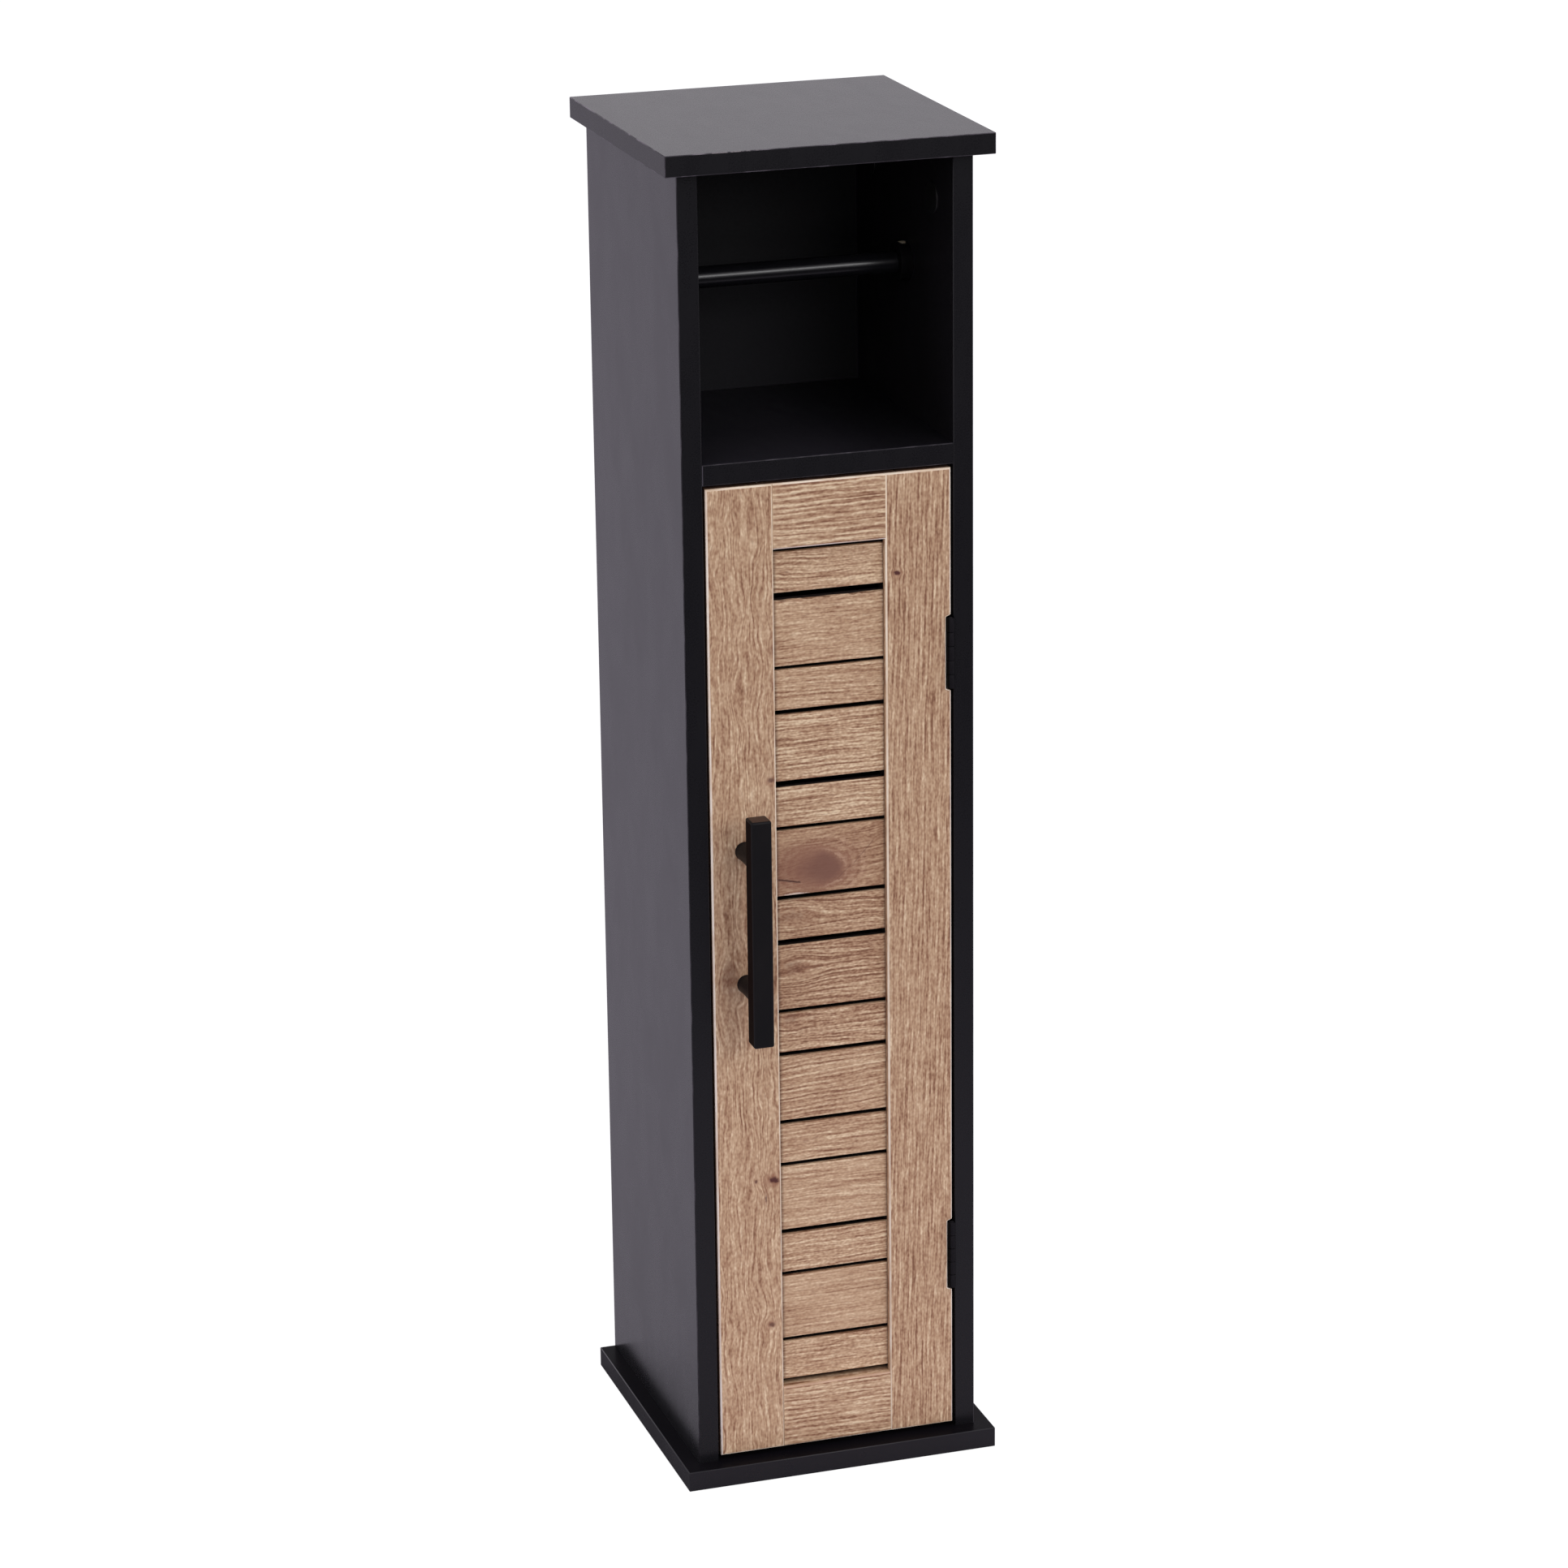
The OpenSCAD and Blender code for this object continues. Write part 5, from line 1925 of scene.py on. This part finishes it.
    def _chip(self, slat: Workpiece, low: Vector, high: Vector) -> None:
        """Breaks a slat's upper front edge into small chips that show the pale core.

        Args:
            slat: The slat.
            low: The lowest corner of its box.
            high: The highest corner of its box.
        """
        draw = random.Random(self.chip_seed)
        upper = slat.outline_edges("X", lambda point: point.y < low.y + MM
                                   and point.z > high.z - MM)
        cut = bmesh.ops.subdivide_edges(slat.bm, edges=upper, cuts=self.chip_points)
        points = [item for item in cut["geom_inner"] if isinstance(item, bmesh.types.BMVert)]
        depth = 0.0
        # A point keeps part of its neighbour's depth, so that a chip is a few points wide.
        for vert in sorted(points, key=lambda point: point.co.x):
            depth = depth * 0.45 + draw.random() ** 2 * self.chip_depth * 0.9
            vert.co.z -= depth * MM
        deepest = high.z - (self.chip_depth + 0.05) * MM
        broken = [edge for edge in slat.bm.edges
                  if all(vert.co.y < low.y + SAME_PLACE and vert.co.z > deepest
                         for vert in edge.verts)]
        slat.ease(broken, self.chip_ease, 1, group=2)


@dataclass
class BarHandle:
    """The square bar on its two round posts, with the screws from the door's back.

    Attributes:
        ease: The rounding of the bar's edges.
        flare: How much wider a post is at its ends than between them.
        spigot_share: The radius of a post's spigot in the bar, as a share of the post's.
        spigot_length: The spigot's length.
        screw: The screw through the door.
    """

    ease: float = 1.2
    flare: float = 0.35
    spigot_share: float = 0.55
    spigot_length: float = 4.0
    screw: CrossScrew = field(default_factory=lambda: CrossScrew(4.0, 7.5, 2.6, HeadShape.PAN))

    def build(self) -> None:
        """Builds the bar, the posts and their screws."""
        low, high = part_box("handle_bar")
        bar = Workpiece.block(low, high)
        bar.ease(bar.bm.edges, self.ease, 4)
        bar.group_faces(1, lambda face: facing(face, UP), smooth=False)
        bar.group_faces(2, lambda face: facing(face, LEFT), smooth=False)
        # The bar's top face is a lighter brown copy of the coat, as painted light, and its left
        # side a darker copy that hardly mirrors, as painted shade.
        end = PowderCoat("bar_top_painted_light_coat", srgb(56, 40, 33), srgb(64, 47, 40))
        side = PowderCoat("bar_left_side_painted_shade_coat", srgb(14, 8, 8), srgb(20, 12, 12), 0.5, 1.08)
        bar.finish("handle_square_bar", [COAT, end, side], Body.DOOR, "black_metal",
                   ["handle_bar"])
        for node in ("handle_upper_post", "handle_lower_post"):
            self._post(node)
        self.screw.set_of("handle_screw_set", "handle_screws", FRONT, ZINC, Body.DOOR,
                          "zinc_fittings")

    def _post(self, node: str) -> None:
        """Turns a post that flares a little where it meets the door and the bar.

        Args:
            node: The post's node.
        """
        radius, _, foot = round_box(node, 1)
        foot.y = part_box(node)[1].y
        length = (foot.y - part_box("handle_bar")[1].y) / MM
        tip = length + self.spigot_length
        slim, flared = radius - self.flare, radius - self.flare * 0.7
        spigot = radius * self.spigot_share
        outline = [(0.0, 0.0), (radius, 0.0), (radius, 0.8), (flared, 1.6), (slim, 3.0),
                   (slim, length - 3.0), (flared, length - 1.6), (radius, length - 0.8),
                   (radius, length), (spigot, length), (spigot, tip), (0.0, tip)]
        post = Workpiece.turned(outline, foot, FRONT, 56)
        post.finish(node + "_turned", [COAT], Body.DOOR, "black_metal", [node])


@dataclass
class ButtHinges:
    """Two butt hinges: leaves, pins with domed heads, and screws.

    Attributes:
        dome: The height of a pin's domed ends.
        knuckle_ease: The rounding of the knuckles' ends.
        lit_half: How far to each side of its axis a knuckle is lit.
        screw: The screw in the leaves.
    """

    dome: float = 0.45
    knuckle_ease: float = 0.35
    lit_half: float = 1.25
    screw: CrossScrew = field(default_factory=lambda: CrossScrew(2.5, 4.8, 1.4))

    def build(self) -> None:
        """Builds the pins, the leaves and their screws."""
        for level in ("upper", "lower"):
            self._pin(f"{level}_hinge_pin")
            for part, body in (("frame", Body.CABINET), ("door", Body.DOOR)):
                self._leaf(f"{level}_hinge_{part}_leaf", middle(f"{level}_hinge_pin"), body)
        for part, way, body in (("frame", RIGHT, Body.CABINET), ("door", LEFT, Body.DOOR)):
            self.screw.set_of(f"hinge_{part}_screw_set", f"hinge_{part}_screws", way,
                              HINGE_LACQUER, body, "hinge_black")

    def _leaf(self, node: str, axis: Vector, body: Body) -> None:
        """Builds a leaf whose knuckles are smooth, with rounded ends.

        Args:
            node: The leaf's node.
            axis: The middle of the pin.
            body: The body that the leaf rides on.
        """
        leaf = Workpiece.from_node(node)
        radius = max(axis.y - vert.co.y for vert in leaf.bm.verts)

        def from_axis(vert: bmesh.types.BMVert) -> float:
            """The distance of a corner from the pin's axis."""
            return math.hypot(vert.co.x - axis.x, vert.co.y - axis.y)

        rims = [edge for edge in leaf.bm.edges
                if all(abs(from_axis(vert) - radius) < 20 * SAME_PLACE for vert in edge.verts)
                and sum(abs(face.normal.z) > 0.9 for face in edge.link_faces) == 1]
        leaf.ease(rims, self.knuckle_ease)
        leaf.group_faces(0, lambda face: abs(face.normal.z) < 0.1
                         and all(from_axis(vert) > radius * 0.9 for vert in face.verts)
                         and face.calc_center_median().y < axis.y)
        coat = replace(HINGE_LACQUER, name="knuckle_lacquer",
                       knuckle=(axis.x / MM, self.lit_half))
        leaf.finish(node + "_eased", [coat], body, "hinge_black", [node])

    def _pin(self, node: str) -> None:
        """Turns a pin with a domed head at each end.

        Args:
            node: The pin's node.
        """
        radius, length, foot = round_box(node, 2)
        dome = self.dome
        lower = [(0.0, -dome), (radius * 0.5, -dome * 0.85), (radius * 0.85, -dome * 0.45),
                 (radius, 0.0)]
        upper = [(r, length - h) for r, h in reversed(lower)]
        pin = Workpiece.turned([*lower, *upper], foot, UP, 32)
        pin.finish(node + "_domed", [HINGE_LACQUER], Body.CABINET, "hinge_black", [node])


@dataclass
class MagneticCatch:
    """The catch under the middle shelf and its strike on the door's back.

    Attributes:
        strike_corner: The rounding of the strike plate's corners.
        screw: The screw that holds the catch and the strike.
    """

    strike_corner: float = 1.5
    screw: CrossScrew = field(default_factory=lambda: CrossScrew(3.0, 5.6, 1.8))

    def build(self) -> None:
        """Builds the screws and the strike, and dresses the rest."""
        dress_node("magnet_catch_case", PLASTIC)
        dress_node("catch_magnet", Ferrite())
        dress_node("catch_pole_plates", ZINC)
        strike = Workpiece.from_node("strike_plate")
        strike.ease(strike.outline_edges("Y"), self.strike_corner, 4)
        strike.finish("strike_plate_eased", [ZINC], Body.DOOR, "zinc_fittings",
                      ["strike_plate"])
        self.screw.set_of("catch_screw_set", "catch_screws", UP, ZINC, Body.CABINET,
                          "zinc_fittings")
        self.screw.set_of("strike_screw_set", "strike_screws", FRONT, ZINC, Body.DOOR,
                          "zinc_fittings")


# ---------------------------------------------------------------- studio and camera


@dataclass(frozen=True)
class SoftBox:
    """A soft lamp aimed at a point of the cabinet. Places and sizes are in metres.

    Attributes:
        name: The lamp's name.
        azimuth: Its angle round the cabinet, 0 in front of the door and 90 at +X.
        elevation: Its angle above the floor.
        distance: Its distance from the point that it is aimed at.
        width: The width of its face.
        height: The height of its face.
        level: How bright its face is, in watts for each steradian and square metre.
        aim: The point that it is aimed at.
    """

    name: str
    azimuth: float
    elevation: float
    distance: float
    width: float
    height: float
    level: float
    aim: Triple

    def light(self) -> None:
        """Hangs the lamp."""
        back = direction(self.azimuth, self.elevation)
        lamp = bpy.data.lights.new(self.name, "AREA")
        lamp.shape = "RECTANGLE"
        lamp.size = self.width
        lamp.size_y = self.height
        lamp.energy = self.level * math.pi * self.width * self.height
        hung = bpy.data.objects.new(self.name, lamp)
        hung.matrix_world = standing_at(Vector(self.aim) + back * self.distance, back)
        hung.visible_camera = False
        bpy.context.scene.collection.objects.link(hung)
        LOG.info("%s hung", self.name)


@dataclass
class Studio:
    """A plain pale floor, a pale dome and one soft lamp.

    Attributes:
        floor_radius: The floor's radius in metres.
        floor_drop: How far the floor lies under the base, in metres.
        floor_colour: The floor's colour under the cabinet and behind it.
        room_colour: The floor's colour well in front of the cabinet.
        sweep: Where along Y the second goes over into the first, in millimetres.
        seen_white: How bright the floor looks to the camera.
        seen_share: How much of that look it takes.
        mirrored_share: How much of it mirrors and clear things take.
        dome_colour: The dome's colour.
        lamp: The lamp.
    """

    floor_radius: float = 14.0
    floor_drop: float = 0.0002
    floor_colour: Colour = (0.56, 0.53, 0.60)
    room_colour: Colour = (0.06, 0.06, 0.06)
    sweep: Span = (-1500.0, -250.0)
    seen_white: float = 1.2
    seen_share: float = 0.8
    mirrored_share: float = 0.1
    dome_colour: Colour = (0.97, 0.93, 1.0)
    lamp: SoftBox = SoftBox("key_lamp", 15.0, 18.6, 3.0, 1.1, 0.75, 6.38, (0.0, 0.0, 0.65))

    def build(self) -> None:
        """Lays the floor, sets the dome and hangs the lamp."""
        self._floor()
        self._dome()
        self.lamp.light()
        bpy.context.scene.view_settings.view_transform = "Standard"

    def _floor(self) -> None:
        """Lays a round floor just under the base."""
        bm = bmesh.new()
        bmesh.ops.create_circle(bm, cap_ends=True, segments=96, radius=self.floor_radius,
                                matrix=Matrix.Translation((0.0, 0.0, -self.floor_drop)))
        mesh = bpy.data.meshes.new("floor")
        bm.to_mesh(mesh)
        bm.free()
        floor = bpy.data.objects.new("floor", mesh)
        bpy.context.scene.collection.objects.link(floor)
        mesh.materials.append(self._floor_paint())

    def _floor_paint(self) -> bpy.types.Material:
        """Mixes the floor's paint: matt, and white where the camera looks straight at it.

        Returns:
            The paint.
        """
        paint = bpy.data.materials.new("floor_paint")
        recipe = Recipe(paint)
        near = recipe.place().y.rise(*self.sweep)
        paper = recipe.mixed(near, self.room_colour, self.floor_colour)
        matt = recipe.take("ShaderNodeBsdfDiffuse", inputs={"Color": paper})
        white = recipe.take("ShaderNodeEmission", inputs={"Strength": self.seen_white})
        seen, glossy, through = (recipe.take("ShaderNodeLightPath", output=f"Is {ray} Ray")
                                 for ray in ("Camera", "Glossy", "Transmission"))
        share = seen * self.seen_share + (glossy + through) * near * self.mirrored_share
        both = recipe.take("ShaderNodeMixShader", inputs={0: share, 1: matt, 2: white})
        recipe.node("ShaderNodeOutputMaterial", inputs={"Surface": both})
        return paint

    def _dome(self) -> None:
        """Sets a pale dome all round."""
        world = bpy.data.worlds.new("dome")
        bpy.context.scene.world = world
        recipe = Recipe(world)
        inputs = {"Color": (*self.dome_colour, 1.0), "Strength": 1.0}
        sky = recipe.take("ShaderNodeBackground", inputs=inputs)
        recipe.node("ShaderNodeOutputWorld", inputs={"Surface": sky})


@dataclass
class PhotoCamera:
    """The camera that took the photograph.

    Attributes:
        azimuth: Its angle round the cabinet in degrees, 0 in front of the door.
        elevation: How far its view looks down, in degrees.
        roll: How far it is turned about its view, in degrees.
        place: Its place in metres.
        sensor: The width of its sensor in millimetres.
        focal_pixels: Its focal length in pixels of the photograph.
        image_pixels: The photograph's width in pixels.
        clip: The nearest and the farthest distance that it sees, in metres.
    """

    azimuth: float = -17.634
    elevation: float = 17.946
    roll: float = -0.708
    place: Triple = (-0.8723, -2.7391, 1.3269)
    sensor: float = 36.0
    focal_pixels: float = 6384.8
    image_pixels: float = 1932.0
    clip: Span = (0.05, 60.0)

    def build(self) -> None:
        """Sets the camera up and makes it the scene's own."""
        turn, roll = math.radians(self.azimuth), math.radians(self.roll)
        right = Vector((math.cos(turn), math.sin(turn), 0.0))
        back = direction(self.azimuth, self.elevation)
        up = back.cross(right)
        across = right * math.cos(roll) + up * math.sin(roll)
        upward = up * math.cos(roll) - right * math.sin(roll)
        lens = bpy.data.cameras.new("photo_camera")
        lens.sensor_fit = "HORIZONTAL"
        lens.sensor_width = self.sensor
        lens.lens = self.focal_pixels / self.image_pixels * self.sensor
        lens.clip_start, lens.clip_end = self.clip
        camera = bpy.data.objects.new("photo_camera", lens)
        camera.matrix_world = Matrix((across, upward, back)).transposed().to_4x4()
        camera.matrix_world.translation = Vector(self.place)
        bpy.context.scene.collection.objects.link(camera)
        bpy.context.scene.camera = camera
        LOG.info("camera set, %.1f mm lens", lens.lens)


def main() -> None:
    """Builds the camera, the studio and each sub-assembly in order."""
    logging.basicConfig(level=logging.INFO, format="%(name)s: %(message)s")
    for part in (PhotoCamera(), Studio(), Carcass(), KnockDownFittings(), RollRod(), SlattedDoor(),
                 BarHandle(), ButtHinges(), MagneticCatch()):
        LOG.info("building %s", type(part).__name__)
        part.build()


if __name__ == "__main__":
    main()
